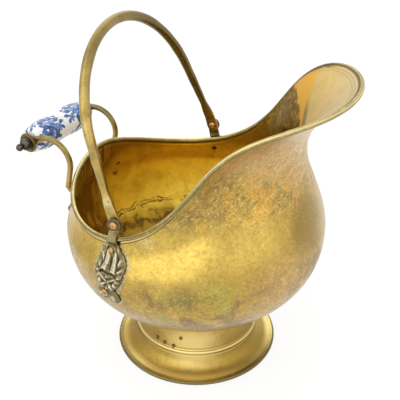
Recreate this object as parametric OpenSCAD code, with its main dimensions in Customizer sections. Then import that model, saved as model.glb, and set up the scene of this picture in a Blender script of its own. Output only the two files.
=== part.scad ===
// Helmet coal scuttle: a footed brass bowl whose upper body sweeps up into a
// wide pouring lip.  A bail swings on two riveted lion-mask lugs, and a fixed
// porcelain grip stands off the back on two bent rods.
// +Z is up, +X points to the pouring lip, the origin is the middle of the
// foot on the floor.  Millimetres.

/* [Sheet and wire] */
// Thickness of the brass sheet of the bowl and the upper body
sheet_t = 1; // [0.8:0.1:1.4]
// Thickness of the sheet of the foot
foot_t = 1; // [0.8:0.1:1.4]
// Radius of the space rolled round the rim wire
rim_roll_r = 1.4; // [1.2:0.1:1.9]
// Radius of the space rolled round the foot wire
foot_roll_r = 1.2; // [1:0.1:1.6]
// Play between a rolled edge and the wire in it
wire_play = 0.15; // [0.12:0.01:0.25]

/* [Belly] */
// Radius of the belly at its widest
belly_r = 133; // [124:0.5:142]
// Depth of the round underside below the widest place
belly_drop = 96; // [92:0.5:101]
// Fullness of the underside: 1 is an ellipse, and less is fuller
belly_round = 0.9; // [0.85:0.01:1]
// Drop from the widest place to the seam between the bowl and the upper body
seam_drop = 39.5; // [22:0.5:56]
// Radius of the flat bottom of the bowl
bottom_r = 40; // [25:1:52]

/* [Mouth] */
// Middle of the rolled rim at the lip: along X, half width, height
rim_lip = [153.5, 0, 313]; // [-170:0.5:340]
// Rim at the corner of the lip
rim_corner = [117.5, 86, 307.5]; // [-170:0.5:340]
// Rim at the throat, where the lip runs down to the mouth
rim_throat = [65, 108.5, 272.5]; // [-170:0.5:340]
// Rim at the shoulder, above the front of the mouth
rim_shoulder = [18.5, 116.5, 213]; // [-170:0.5:340]
// Rim at the side, behind the lugs
rim_side = [-55, 109, 182.5]; // [-170:0.5:340]
// Rim at the back quarter
rim_quarter = [-108.5, 58, 195.5]; // [-170:0.5:340]
// Rim at the middle of the back
rim_back = [-117.5, 0, 209]; // [-170:0.5:340]
// How far the wall rises upright from the belly, as a share of its height
rise_pull = 0.36; // [0.25:0.01:0.45]
// How far the wall runs in line with the rim, as a share of its length
rim_pull = 0.66; // [0.5:0.01:0.72]
// Outward slope of the wall at the lip, from upright
lip_flare = 52; // [35:1:58]
// Slope of the wall at the low rim, from upright, where it leans in
back_lean = -11; // [-16:1:0]
// How early the flare sets in as the rim rises
flare_power = 0.95; // [0.7:0.05:1.3]

/* [Foot] */
// Outer radius of the foot on the floor
foot_r = 88; // [80:0.5:96]
// Radius of the foot under the raised ring
ring_r = 64.5; // [63.5:0.5:67]
// Height of the raised ring
ring_h = 24.5; // [21:0.5:29]
// How far the ring stands out
ring_out = 2.2; // [1.6:0.1:2.6]
// Radius of the waist between the ring and the bowl
waist_r = 63.5; // [60:0.5:64]
// Height of the waist
waist_h = 41; // [37:0.5:46]
// Height at which the bowl rests on the outer edge of the foot's flange
seat_h = 66; // [62:0.5:70]
// Outer radius of the flange that is soldered under the bowl
flange_r = 68.5; // [66:0.5:74]
// Width of that flange
flange_w = 5; // [3.5:0.5:6]
// How much of the rolled foot edge is worn flat
foot_wear = 0.25; // [0.1:0.05:0.4]

/* [Bail] */
// Place of the left pivot along X; the lugs were riveted on by eye
pivot_x_left = -32; // [-36:0.5:-26]
// Place of the right pivot along X
pivot_x_right = -28; // [-36:0.5:-26]
// Height of the left pivot above the rim that its lug straddles
pivot_rise_left = 19.4; // [14:0.1:22]
// Height of the right pivot above the rim that its lug straddles
pivot_rise_right = 12.8; // [12:0.1:21]
// How far inside the rolled rim the flat end of the bail stands
end_inset = 5.2; // [4.6:0.1:6]
// Height of the bail above its pivot, to the middle of the tube
bail_h = 158; // [145:1:165]
// Radius of the round top of the bail
crown_r = 101; // [96:0.5:106]
// Lean of the bail towards the back, as it stands
bail_tilt = 19.8; // [0:0.2:35]
// Radius of the bail's tube at the top
bail_tube_r = 5.1; // [4.4:0.1:5.6]
// Radius of the tube where it narrows above its flat end
bail_neck_r = 4.2; // [3.7:0.1:4.6]
// Radius of the round flat end
end_r = 6.6; // [6:0.1:7.2]
// Thickness of the flat end
end_t = 2.2; // [1.8:0.1:2.8]

/* [Lugs] */
// Radius of the ear round the pivot
ear_r = 7.2; // [6.8:0.1:8.5]
// Thickness of the ear
ear_t = 2.6; // [2.2:0.1:3.2]
// Half width of the strap that crosses the rim
strap_w = 5.6; // [4.8:0.1:6.4]
// Drop from the rim to the top of the mask
mask_drop = 5.6; // [5:0.1:8]
// How far the mask sits ahead of the strap
mask_shift = 3.5; // [0:0.5:4]
// Height of the mask, from its top to the tip of its lobes
mask_h = 56; // [54:0.5:60]
// Half width of the mask at the cheeks
mask_w = 16.5; // [14:0.5:19]
// Height of the relief at the muzzle
muzzle_out = 5; // [3.5:0.1:6.5]
// Least thickness of the cast lug
cast_t = 1.6; // [1.4:0.1:2.2]
// Depth of the forehead rivet below the top of the mask
brow_rivet_drop = 6; // [5:0.5:8]
// Depth of the lower rivet below the top of the mask
chin_rivet_drop = 46; // [44:0.5:48]

/* [Back handle] */
// Distance between the middles of the two rods
arm_span = 89; // [80:0.5:100]
// Radius of the bend of each rod
arm_bend = 24.5; // [22:0.5:28]
// How far behind the rolled rim the middle of the bend lies
bend_back = 27.5; // [24.5:0.5:30.5]
// Height of the middle of the bend
bend_h = 208; // [205:0.5:214]
// Angle round the bend at which the rod turns into its eye
eye_turn = 106; // [98:1:108]
// Angle round the bend at which the rod runs down
drop_angle = -12; // [-14:0.5:-8]
// Radius of each rod
arm_r = 3; // [2.6:0.1:3.1]
// Radius of the eye at its end
eye_r = 6.6; // [6:0.1:7.5]
// Thickness of the eye
eye_t = 3.4; // [3:0.1:4]
// Drop from the rim to the top of the leaf
leaf_drop = 21; // [19:0.5:24]
// Length of the leaf
leaf_h = 40; // [36:0.5:46]
// Half width of the leaf
leaf_w = 6.6; // [6:0.1:8]
// Thickness of the leaf
leaf_t = 1.5; // [1.2:0.1:2]
// Drop of the upper leaf rivet below the leaf's top
leaf_rivet_1 = 10; // [9.5:0.5:12]
// Drop of the lower leaf rivet below the leaf's top
leaf_rivet_2 = 25; // [23:0.5:28]

/* [Grip] */
// How far behind the rolled rim the middle of the grip lies
grip_back = 47.5; // [44.5:0.5:50.5]
// Height of the middle of the grip
grip_h = 224; // [221:0.5:227]
// How far the grip stands askew, its right end towards the back, in degrees
grip_yaw = 4.5; // [0:0.5:6]
// Radius of the spindle through the grip
spindle_r = 2.5; // [2:0.1:3]
// Radius of the porcelain at its two swellings
grip_r = 15.5; // [14:0.1:17]
// Radius of the porcelain in the middle
grip_mid_r = 14.4; // [13:0.1:15]
// Radius of the porcelain at its ends
grip_end_r = 12; // [10.5:0.1:13]
// Depth of the three fine rings in the middle
grip_ring = 0.4; // [0.2:0.05:0.6]
// Radius of the cup washers
washer_r = 10.4; // [9.5:0.1:11.5]
// Thickness of the cup washers
washer_t = 2.2; // [1.6:0.1:2.6]
// Radius of the dome of the end nuts
nut_r = 7.4; // [6.6:0.1:8.2]
// Radius of the small ball on each end nut
ball_r = 3.8; // [3:0.1:4.5]

/* [Rivets] */
// Radius of the pivot rivets
pivot_r = 2.4; // [2:0.1:2.8]
// Radius of the head of the pivot rivets
pivot_head_r = 4; // [3.6:0.1:4.6]
// Radius of the rivets that hold the lugs and the leaves
rivet_r = 1.7; // [1.4:0.1:2]
// Radius of the heads of those rivets
head_r = 3.1; // [2.7:0.1:3.4]
// Radius of the head of the lower rivet of each mask
chin_head_r = 3.8; // [3:0.1:4]
// Radius of the small rivets in the foot
foot_rivet_r = 1.2; // [1:0.1:1.4]
// Height of a rivet's head, as a share of its radius
head_rise = 0.5; // [0.4:0.05:0.6]
// Play of a rivet in its hole
rivet_play = 0.04; // [0.02:0.01:0.08]
// Play of the bail and of the grip on their pins
turn_play = 0.06; // [0.04:0.01:0.09]
// Gap left between pieces that move past each other, and behind cast pieces
side_gap = 0.25; // [0.2:0.05:0.4]

/* [Hidden] */
$fn = 64;

BRASS = [0.72, 0.55, 0.26];
WORN_BRASS = [0.62, 0.50, 0.27];
STEEL = [0.45, 0.44, 0.42];
COPPER = [0.74, 0.44, 0.31];
PEWTER = [0.34, 0.33, 0.30];
PORCELAIN = [0.95, 0.95, 0.93];
DARK_BRONZE = [0.20, 0.19, 0.17];

// ---------------------------------------------------------------- small maths
function unit(v) = v / norm(v);
function mix(a, b, t) = a * (1 - t) + b * t;
function clamp(x, lo, hi) = min(hi, max(lo, x));
function ease(t) = let (u = clamp(t, 0, 1)) u * u * (3 - 2 * u);
function bezier(p, t) =
    pow(1 - t, 3) * p[0] + 3 * pow(1 - t, 2) * t * p[1]
    + 3 * (1 - t) * t * t * p[2] + pow(t, 3) * p[3];
function bump(x, y, wide, high) = exp(-(pow(x / wide, 2) + pow(y / high, 2)));
function polar(r, az, z) = [r * cos(az), r * sin(az), z];
function azimuth(p) = atan2(p[1], p[0]);
// eased lines between named places: stations are pairs of place and value
function along(stations, x, i = 0) =
    i >= len(stations) - 2 || x <= stations[i + 1][0]
    ? mix(stations[i][1], stations[i + 1][1],
        ease((x - stations[i][0]) / (stations[i + 1][0] - stations[i][0])))
    : along(stations, x, i + 1);

// --------------------------------------------------------------- the rim line
// One smooth closed line runs through the seven named places of one half and
// their mirror images: a cosine series for X and Z, and a sine series for Y.
RIM = [rim_lip, rim_corner, rim_throat, rim_shoulder, rim_side, rim_quarter, rim_back];
last = len(RIM) - 1;
function half_end(j) = j == 0 || j == last ? 0.5 : 1;
function even_terms(axis) = [for (k = [0:last])
    2 / last * half_end(k) * ([for (j = [0:last]) half_end(j) * cos(180 * k * j / last)]
        * [for (j = [0:last]) RIM[j][axis]])];
function odd_terms(axis) = [for (k = [0:last])
    2 / last * ([for (j = [0:last]) sin(180 * k * j / last)] * [for (j = [0:last]) RIM[j][axis]])];
x_terms = even_terms(0);
y_terms = odd_terms(1);
z_terms = even_terms(2);
function cosines(t) = [for (k = [0:last]) cos(k * t)];
function sines(t) = [for (k = [0:last]) sin(k * t)];
function k_cosines(t) = [for (k = [0:last]) k * cos(k * t)];
function k_sines(t) = [for (k = [0:last]) k * sin(k * t)];
function rim(t) = [x_terms * cosines(t), y_terms * sines(t), z_terms * cosines(t)];
function rim_way(t) = unit([-x_terms * k_sines(t), y_terms * k_cosines(t), -z_terms * k_sines(t)]);
rim_low = min([for (p = RIM) p[2]]);
function flare(t) = mix(back_lean, lip_flare,
    pow(clamp((rim(t)[2] - rim_low) / (rim_lip[2] - rim_low), 0, 1), flare_power));
function wall_way(t) =
    let (az = azimuth(rim(t)), f = flare(t))
    [sin(f) * cos(az), sin(f) * sin(az), cos(f)];
function rim_out(t) = unit(cross(rim_way(t), wall_way(t)));
function rim_up(t) = cross(rim_out(t), rim_way(t));
// the top of the wall's outer face, where the sheet starts round the wire
function wall_top(t) = rim(t) - rim_roll_r * rim_out(t);

// ------------------------------------------------------------ the wall's form
// Below the belly's widest place the wall is a full ellipse turned about Z.
// Above it, each upright section is one curve from the belly to the rim.
function belly_angle(z) = asin(pow(clamp((belly_h - z) / belly_drop, 0, 1), 1 / belly_round));
function radius_angle(r) = acos(pow(r / belly_r, 1 / belly_round));
function belly_point(angle) =
    [belly_r * pow(cos(angle), belly_round), belly_h - belly_drop * pow(sin(angle), belly_round)];
// outward direction of the underside
function belly_out(angle) = unit([belly_drop * cos(angle) * pow(sin(angle), belly_round - 1),
    -belly_r * sin(angle) * pow(cos(angle), belly_round - 1)]);
function wall_curve(t) =
    let (top3 = wall_top(t), top = [norm([top3[0], top3[1]]), top3[2]], low = [belly_r, belly_h],
        f = flare(t), run = norm(top - low))
    [low, [belly_r, belly_h + rise_pull * (top[1] - belly_h)],
        top - rim_pull * run * [sin(f), cos(f)], top];
// the bowl rests on the flange at its outer edge, which sets the belly's height
belly_h = seat_h + belly_drop * pow(sin(radius_angle(flange_r)), belly_round);
seam_h = belly_h - seam_drop;
// place round the rim whose wall stands at a given azimuth, by halving
function rim_place(az, lo = 0, hi = 180, n = 18) =
    let (mid = (lo + hi) / 2)
    n == 0 ? mid
    : azimuth(wall_top(mid)) > az ? rim_place(az, lo, mid, n - 1)
    : rim_place(az, mid, hi, n - 1);
function curve_share(curve, z, lo = 0, hi = 1, n = 16) =
    let (mid = (lo + hi) / 2)
    n == 0 ? mid
    : bezier(curve, mid)[1] > z ? curve_share(curve, z, lo, mid, n - 1)
    : curve_share(curve, z, mid, hi, n - 1);
function wall_radius(az, z) =
    z <= belly_h ? belly_point(belly_angle(z))[0]
    : let (curve = wall_curve(rim_place(az))) bezier(curve, curve_share(curve, z))[0];
// outward direction of the wall at a place
function wall_out(az, z) =
    let (slope = (wall_radius(az, z + 0.5) - wall_radius(az, z - 0.5)))
    unit([cos(az), sin(az), -slope]);
function wall_place(az, z, off = 0) = polar(wall_radius(az, z), az, z) + off * wall_out(az, z);

// --------------------------------------------------------- sweeping of meshes
// rings: a list of rings of the same even number of points, each ring going
// round anticlockwise as seen against the way of the sweep.  An open end is
// closed by a ladder of triangles between the two halves of its ring.
function sweep_faces(rings, around, closed) = [
    for (i = [0:rings - (closed ? 1 : 2)]) for (j = [0:around - 1])
        let (a = i * around + j, b = i * around + (j + 1) % around,
            c = ((i + 1) % rings) * around + (j + 1) % around, d = ((i + 1) % rings) * around + j)
        each [[a, b, c], [a, c, d]]];
module sweep(rings, closed = false) {
    n = len(rings);
    around = len(rings[0]);
    caps = closed ? [] : [for (j = [0:around / 2 - 2])
        let (a = j, b = j + 1, c = around - 2 - j, d = around - 1 - j, top = (n - 1) * around)
        each [[a, c, b], [a, d, c], [top + a, top + b, top + c], [top + a, top + c, top + d]]];
    polyhedron([for (ring = rings) each ring], concat(sweep_faces(n, around, closed), caps), convexity = 8);
}
function flip(ring) = [for (i = [len(ring) - 1:-1:0]) ring[i]];

// turns the Z axis to a direction at a place
module stand_at(place, way) {
    translate(place)
        rotate([0, acos(way[2]), atan2(way[1], way[0])])
            children();
}
module mirrored() {
    children();
    mirror([0, 1, 0])
        children();
}

// ----------------------------------------------------------------- upper body
columns = 72;
low_rows = 5;
rise_rows = 10;
roll_steps = 8;
roll_gap = 0.3;
rim_edge_r = rim_roll_r + sheet_t;
roll_turn = 360 - acos((rim_roll_r - roll_gap) / rim_edge_r);
seam_angle = belly_angle(seam_h);
function seam_radius(inside) = belly_point(seam_angle)[0] - (inside ? sheet_t / cos(seam_slope) : 0);
// slope of the wall at the seam, from upright
seam_slope = atan2(-belly_out(seam_angle)[1], belly_out(seam_angle)[0]);

// outer face of one upright section, from the seam to the rim
function wall_rows(t) =
    let (az = azimuth(wall_top(t)), curve = wall_curve(t))
    concat(
        [for (i = [0:low_rows - 1])
            let (p = belly_point(seam_angle * (1 - i / low_rows))) polar(p[0], az, p[1])],
        [for (i = [0:rise_rows])
            let (p = bezier(curve, i / rise_rows)) polar(p[0], az, p[1])]);
// outward direction of each row: square to the section, turning to the rim's own
function row_out(rows, i, t) =
    let (n = len(rows) - 1, a = rows[max(0, i - 1)], b = rows[min(n, i + 1)],
        az = azimuth(rows[i]), dr = norm([b[0], b[1]]) - norm([a[0], a[1]]), dz = b[2] - a[2],
        square = unit([dz * cos(az), dz * sin(az), -dr]))
    unit(mix(square, rim_out(t), pow(i / n, 3)));
function roll_point(t, r, turn) = rim(t) + r * (-cos(turn) * rim_out(t) + sin(turn) * rim_up(t));
function section_ring(t) =
    let (rows = wall_rows(t), n = len(rows) - 1, az = azimuth(rows[0]))
    concat(
        rows,
        [for (i = [1:roll_steps]) roll_point(t, rim_roll_r, roll_turn * i / roll_steps)],
        [for (i = [roll_steps:-1:0]) roll_point(t, rim_edge_r, roll_turn * i / roll_steps)],
        [for (i = [n - 1:-1:1]) rows[i] - sheet_t * row_out(rows, i, t)],
        [polar(seam_radius(true), az, seam_h)]);

module upper_body() {
    color(BRASS)
        difference() {
            sweep([for (i = [0:columns - 1]) section_ring(360 * i / columns)], closed = true);
            wall_rivet_holes();
        }
}

module rim_wire() {
    color(STEEL)
        sweep([for (i = [0:columns - 1]) let (t = 360 * i / columns)
            [for (k = [0:7]) roll_point(t, rim_roll_r - wire_play, -45 * k)]], closed = true);
}

// ----------------------------------------------------------------------- bowl
bowl_steps = 9;
flange_angle_out = radius_angle(flange_r);
flange_angle_in = radius_angle(flange_r - flange_w);
bottom_angle = radius_angle(bottom_r);
bottom_h = belly_point(bottom_angle)[1];
bowl_angles = concat(
    [for (i = [0:bowl_steps]) mix(seam_angle, flange_angle_out, i / bowl_steps)],
    [for (i = [0:2]) mix(flange_angle_in, bottom_angle, i / 2)]);

module bowl() {
    outer = [for (a = bowl_angles) belly_point(a)];
    inner = [for (a = bowl_angles) belly_point(a) - sheet_t * belly_out(a)];
    n = len(bowl_angles) - 1;
    color(BRASS)
        rotate_extrude()
            polygon(concat(
                outer,
                [[0, bottom_h], [0, bottom_h + sheet_t]],
                [[inner[n][0], bottom_h + sheet_t]],
                [for (i = [n - 1:-1:1]) inner[i]],
                [[seam_radius(true), seam_h]]));
}

// ----------------------------------------------------------------------- foot
foot_edge_r = foot_roll_r + foot_t;
foot_wire_r = foot_r - foot_edge_r;
foot_wire_h = foot_edge_r - foot_wear;
edge_start = 115;
edge_turn = 285;
function edge_point(r, angle) = [foot_wire_r + r * cos(angle), foot_wire_h + r * sin(angle)];
// the outer face of the foot, from under the flange down to the rolled edge
function foot_face() =
    let (
        tip = belly_point(flange_angle_out) + [0.4, -foot_t * 1.05],
        waist = [waist_r, waist_h],
        above_ring = [ring_r - 0.4, ring_h + ring_out],
        below_ring = [ring_r + 0.2, ring_h - ring_out],
        edge = edge_point(foot_edge_r, edge_start))
    concat(
        [for (i = [0:5]) bezier([tip, tip + [-3.4, -2.4], waist + [0, 9], waist], i / 6)],
        [for (i = [0:3]) bezier([waist, waist - [0, 4], above_ring + [-0.6, 4], above_ring], i / 4)],
        [for (a = [80:-32:-80]) [ring_r + ring_out * cos(a), ring_h + ring_out * sin(a)]],
        [for (i = [0:8])
            bezier([below_ring, below_ring + [0.8, -11], edge + [-13, 2.2], edge + [-1.4, -0.9]], i / 8)],
        [edge]);
function offset_line(line, d) = [for (i = [0:len(line) - 1])
    let (a = line[max(0, i - 1)], b = line[min(len(line) - 1, i + 1)], way = unit(b - a))
    line[i] + d * [way[1], -way[0]]];

module foot() {
    face = foot_face();
    back = offset_line(face, foot_t);
    n = len(face) - 1;
    color(BRASS)
        difference() {
            rotate_extrude()
                polygon(concat(
                    [belly_point(flange_angle_out)],
                    face,
                    [for (a = [1:12]) edge_point(foot_edge_r, edge_start - edge_turn * a / 12)],
                    [for (a = [12:-1:0]) edge_point(foot_roll_r, edge_start - edge_turn * a / 12)],
                    [for (i = [n - 2:-1:2]) back[i]],
                    [belly_point(flange_angle_in)]));
            translate([0, 0, -foot_edge_r])
                cylinder(r = foot_r + foot_edge_r, h = foot_edge_r);
            foot_rivet_places()
                cylinder(r = foot_rivet_r + rivet_play, h = 8, center = true);
        }
}

module foot_wire() {
    color(STEEL)
        rotate_extrude()
            translate([foot_wire_r, foot_wire_h])
                circle(r = foot_roll_r - wire_play);
}

// ---------------------------------------------------------------- rivets, all
// A dome on a flat base at z = 0, rising along +Z.
module dome(r, rise) {
    steps = 6;
    rotate_extrude()
        polygon(concat(
            [[0, 0]],
            [for (i = [0:steps]) [r * cos(90 * i / steps), rise * sin(90 * i / steps)]]));
}
// gap between the flat of a rivet's head and the curved sheet
head_gap = 0.35;
foot_head_r = 2;
// A rivet along Z: the face of the held pieces at z = 0, their back at z = -hold.
module rivet(r, head, hold) {
    dome(head, head * head_rise * 1.2);
    translate([0, 0, -hold])
        mirror([0, 0, 1])
            dome(head * 0.9, head * head_rise);
    translate([0, 0, -hold])
        cylinder(r = r, h = hold);
}

// three rivets follow the ring of the foot and one stands above them: place
// round the foot and height above the ring
foot_rivet_list = [for (r = [[-105.5, 7.5], [-96.5, 5.4], [-87, 5], [-79.5, 17]]) [r[0], ring_h + r[1]]];
neck = [for (p = foot_face()) if (p[1] > ring_h + ring_out * 0.95) [p[1], p[0]]];
// a rivet stands square on the neck, over the two places that its head spans
module foot_rivet_places() {
    for (place = foot_rivet_list)
        let (over = lookup(place[1] + foot_head_r, neck), under = lookup(place[1] - foot_head_r, neck),
            way = unit([2 * foot_head_r, under - over]))
        stand_at(polar((over + under) / 2, place[0], place[1]), polar(way[0], place[0], way[1]))
            children();
}
module foot_rivets() {
    color(COPPER)
        foot_rivet_places()
            translate([0, 0, head_gap])
                rivet(foot_rivet_r, foot_head_r, foot_t + 3 * head_gap);
}

// ----------------------------------------------------------------------- bail
function rim_place_x(x, lo = 0, hi = 180, n = 22) =
    let (mid = (lo + hi) / 2)
    n == 0 ? mid : rim(mid)[0] < x ? rim_place_x(x, lo, mid, n - 1) : rim_place_x(x, mid, hi, n - 1);
// a lug: the rim's middle line under its strap, its azimuth, the height of its
// pivot and the height of the top of its mask
function lug_of(x, rise) = let (p = rim(rim_place_x(x))) [p, azimuth(p), p[2] + rise, p[2] - mask_drop];
lug_left = lug_of(pivot_x_left, pivot_rise_left);
lug_right = lug_of(pivot_x_right, pivot_rise_right);
end_mid = min(lug_left[0][1], lug_right[0][1]) - end_inset;
ear_in = end_mid + end_t / 2 + side_gap;
ear_out = ear_in + ear_t;
// The pivots' common line runs from the right pivot to the left one, a little
// askew to Y, as the lugs are.
pivot_left = [pivot_x_left, end_mid, lug_left[2]];
pivot_right = [pivot_x_right, -end_mid, lug_right[2]];
pivot_way = unit(pivot_left - pivot_right);

end_bend = 12;
crown_z = bail_h - crown_r;
// angle on the round top where the straight leg touches it
leg_reach = norm([end_mid, crown_z - end_bend]);
leg_angle = atan2(end_bend - crown_z, end_mid) + acos(crown_r / leg_reach);
leg_end = [crown_r * cos(leg_angle), crown_z + crown_r * sin(leg_angle)];
leg_rings = 7;
crown_rings = 9;
// middle line of one half of the bail: across, height above the pivot, way up
function leg_line() = concat(
    [[[end_mid, 7], 90], [[end_mid, end_bend], 90 + leg_angle / 2]],
    [for (i = [1:leg_rings]) [mix([end_mid, end_bend], leg_end, i / leg_rings), 90 + leg_angle]],
    [for (i = [1:crown_rings]) let (a = mix(leg_angle, 90, i / crown_rings))
        [[crown_r * cos(a), crown_z + crown_r * sin(a)], 90 + a]]);
// half width along X and half thickness in the bail's own plane, by height
function tube_wide(h) = along([[0, end_r * 0.86], [end_bend, end_r * 0.86], [30, bail_neck_r],
    [bail_h * 0.6, bail_tube_r], [bail_h, bail_tube_r]], h);
function tube_thick(h) = along([[0, end_t * 0.42], [end_bend, end_t * 0.62], [32, bail_neck_r * 0.94],
    [bail_h * 0.6, bail_tube_r], [bail_h, bail_tube_r]], h);
tube_sides = 12;
function tube_ring(place, way) = [for (k = [0:tube_sides - 1])
    let (a = 360 * k / tube_sides, out = tube_thick(place[1]) * cos(a))
    [tube_wide(place[1]) * sin(a), place[0] + out * sin(way), place[1] - out * cos(way)]];

module at_pivot(tilt = 0) {
    translate((pivot_left + pivot_right) / 2)
        rotate([asin(pivot_way[2]), 0, atan2(-pivot_way[0], pivot_way[1])])
            rotate([0, -tilt, 0])
                children();
}
// one flat end with a round tip, standing across Y
module flat_end() {
    translate([0, end_mid + end_t / 2, 0])
        rotate([90, 0, 0])
            linear_extrude(end_t) {
                circle(r = end_r);
                polygon([
                    [-end_r, 0], [end_r, 0],
                    [end_r * 0.7, end_bend + 3], [-end_r * 0.7, end_bend + 3]]);
            }
}
module bail() {
    half = leg_line();
    n = len(half) - 1;
    line = concat(half, [for (i = [n - 1:-1:0]) [[-half[i][0][0], half[i][0][1]], 360 - half[i][1]]]);
    color(WORN_BRASS)
        at_pivot(bail_tilt)
            difference() {
                union() {
                    sweep([for (s = line) tube_ring(s[0], s[1])]);
                    mirrored()
                        flat_end();
                }
                mirrored()
                    translate([0, end_mid, 0])
                        rotate([90, 0, 0])
                            cylinder(r = pivot_r + turn_play, h = end_t * 3, center = true);
            }
}

module pivot_rivet() {
    translate([0, ear_out, 0])
        rotate([-90, 0, 0])
            rivet(pivot_r, pivot_head_r, ear_out - end_mid + end_t / 2 + side_gap);
}
module pivot_rivet_left() {
    color(COPPER)
        at_pivot()
            pivot_rivet();
}
module pivot_rivet_right() {
    color(COPPER)
        at_pivot()
            mirror([0, 1, 0])
                pivot_rivet();
}

// ----------------------------------------------------------------------- lugs
// Each lug is one casting: an ear, a strap bent over the rolled rim, and a
// mask that follows the wall.  It is swept row by row, back face and front.
mask_rows = 23;
mask_columns = 12;
// half width of the mask by depth below its top
mask_outline = [
    [0, strap_w + 0.6], [4, mask_w * 0.6], [9, mask_w * 0.84], [16, mask_w],
    [25, mask_w * 0.98], [33, mask_w * 0.82], [38.5, mask_w * 0.54], [41, mask_w * 0.52],
    [46, mask_w * 0.76], [50, mask_w * 0.86], [53, mask_w * 0.8], [mask_h, mask_w * 0.6]];
// relief of the mask by place across and down: the muzzle, the brows, the mane
// at the cheeks, the nose, the ears, the eyes sunk in and the two lower lobes
function relief(u, v) =
    let (side = abs(u))
    muzzle_out * bump(u, v - 29, 6, 5.5)
    + 3.2 * bump(side - 6.2, v - 17, 4, 4)
    + 2.8 * bump(side - 11.5, v - 24, 3.2, 8)
    + 2.4 * bump(u, v - 15, 2.6, 8)
    + 2.2 * bump(side - 10, v - 10.5, 3, 3.5)
    - 1.2 * bump(side - 5.4, v - 22.5, 1.8, 1.8)
    + 3 * bump(side - 7.5, v - 51, 3.4, 4.5);
rivet_seat = 1.4;
function near_rivet(u, v) = max(bump(u, v - brow_rivet_drop, 4, 4), bump(u, v - chin_rivet_drop, 4, 4));
function mask_thick(u, v) = cast_t + relief(u, v) * (1 - near_rivet(u, v)) + rivet_seat * near_rivet(u, v);
mask_lean = [
    [0, 0], [14, mask_shift], [34, mask_shift], [46, mask_shift * 0.4], [mask_h, mask_shift * 0.4]];
// a row of the mask: places on the wall, then the same places lifted
function mask_row(lug, v) =
    let (z = lug[3] - v, w = along(mask_outline, v), r = wall_radius(lug[1], z),
        spread = [for (k = [0:mask_columns]) w * (2 * k / mask_columns - 1)],
        turns = [for (u = spread) lug[1] - (u + along(mask_lean, v)) / r * 180 / PI])
    row_ring([for (az = turns) wall_place(az, z, side_gap)],
        [for (k = [0:mask_columns]) let (u = spread[k])
            wall_place(turns[k], z, side_gap + mask_thick(u, v) - 0.5 * pow(abs(u) / w, 6))]);
// a round notch in the lower edge parts the two lobes
notch_r = 4.5;
notch_drop = mask_h + 1.5;
function notch_az(lug) = lug[1] - along(mask_lean, notch_drop) / belly_r * 180 / PI;
function row_ring(back, front) = concat(back, flip(front));
// a row of the strap: place along X, middle of the back, way out, half width,
// and how far the row climbs along with the rim under it
function strap_row(x, back, way, w, follow) =
    let (spread = [for (k = [0:mask_columns]) w * (2 * k / mask_columns - 1)], under = rim(rim_place_x(x)),
        climb = [for (u = spread) follow * (rim(rim_place_x(x + u)) - under)])
    row_ring(
        [for (i = [0:mask_columns]) [x + spread[i], back[0] + climb[i][1], back[1] + climb[i][2]]],
        [for (i = [0:mask_columns]) [x + spread[i], back[0] + climb[i][1] + way[0] * strap_t,
            back[1] + climb[i][2] + way[1] * strap_t]]);
strap_t = ear_t - 2 * side_gap;
strap_in = ear_in + side_gap;
strap_r = rim_edge_r + side_gap;
function over_rim(lug, angle) = [[lug[0][1] + strap_r * cos(angle), lug[0][2] + strap_r * sin(angle)],
    [cos(angle), sin(angle)]];
function strap_line(lug) = [
    [[strap_in, lug[2] - 2], [1, 0], strap_w, 0],
    [[strap_in, lug[2] - ear_r + 1.2], [1, 0], strap_w, 0.4],
    [over_rim(lug, 70)[0] + [0, 0.2], unit([1, 0.55]), strap_w * 0.96, 1],
    [over_rim(lug, 38)[0], unit([1, 0.45]), strap_w * 0.92, 1],
    [over_rim(lug, 8)[0], over_rim(lug, 8)[1], strap_w * 0.94, 1],
    [over_rim(lug, -20)[0], [1, 0], strap_w, 1]];
module on_side(side) {
    mirror([0, side < 0 ? 1 : 0, 0])
        children();
}
module lion_lug(lug, side) {
    difference() {
        union() {
            on_side(side)
                sweep(concat(
                    [for (s = strap_line(lug)) strap_row(lug[0][0], s[0], s[1], s[2], s[3])],
                    [for (i = [0:mask_rows]) mask_row(lug, mask_h * i / mask_rows)]));
            at_pivot()
                on_side(side)
                    translate([0, ear_out, 0])
                        rotate([90, 0, 0])
                            cylinder(r = ear_r, h = ear_t);
        }
        at_pivot()
            on_side(side)
                translate([0, ear_out + 1, 0])
                    rotate([90, 0, 0])
                        cylinder(r = pivot_r + rivet_play, h = ear_t + 2);
        lug_rivet_places(lug, side) {
            cylinder(r = rivet_r + rivet_play, h = 30, center = true);
            cylinder(r = $head + 0.3, h = 12);
        }
        on_side(side)
            stand_at(wall_place(notch_az(lug), lug[3] - notch_drop), wall_out(notch_az(lug), lug[3] - notch_drop))
                cylinder(r = notch_r, h = 30, center = true);
    }
}
// height of the rivets' seat above the wall
lug_seat = side_gap + cast_t + rivet_seat - 0.6;
module lug_rivet_places(lug, side) {
    for (place = [[brow_rivet_drop, head_r], [chin_rivet_drop, chin_head_r]])
        let (z = lug[3] - place[0], $head = place[1])
        on_side(side)
            stand_at(wall_place(lug[1], z, lug_seat), wall_out(lug[1], z))
                children();
}
module both_lugs() {
    lug_rivet_places(lug_left, 1)
        children();
    lug_rivet_places(lug_right, -1)
        children();
}
module lion_lug_left() {
    color(PEWTER)
        lion_lug(lug_left, 1);
}
module lion_lug_right() {
    color(PEWTER)
        lion_lug(lug_right, -1);
}
module lug_rivets() {
    color(COPPER)
        both_lugs()
            rivet(rivet_r, $head, lug_seat + sheet_t + head_gap);
}

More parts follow.
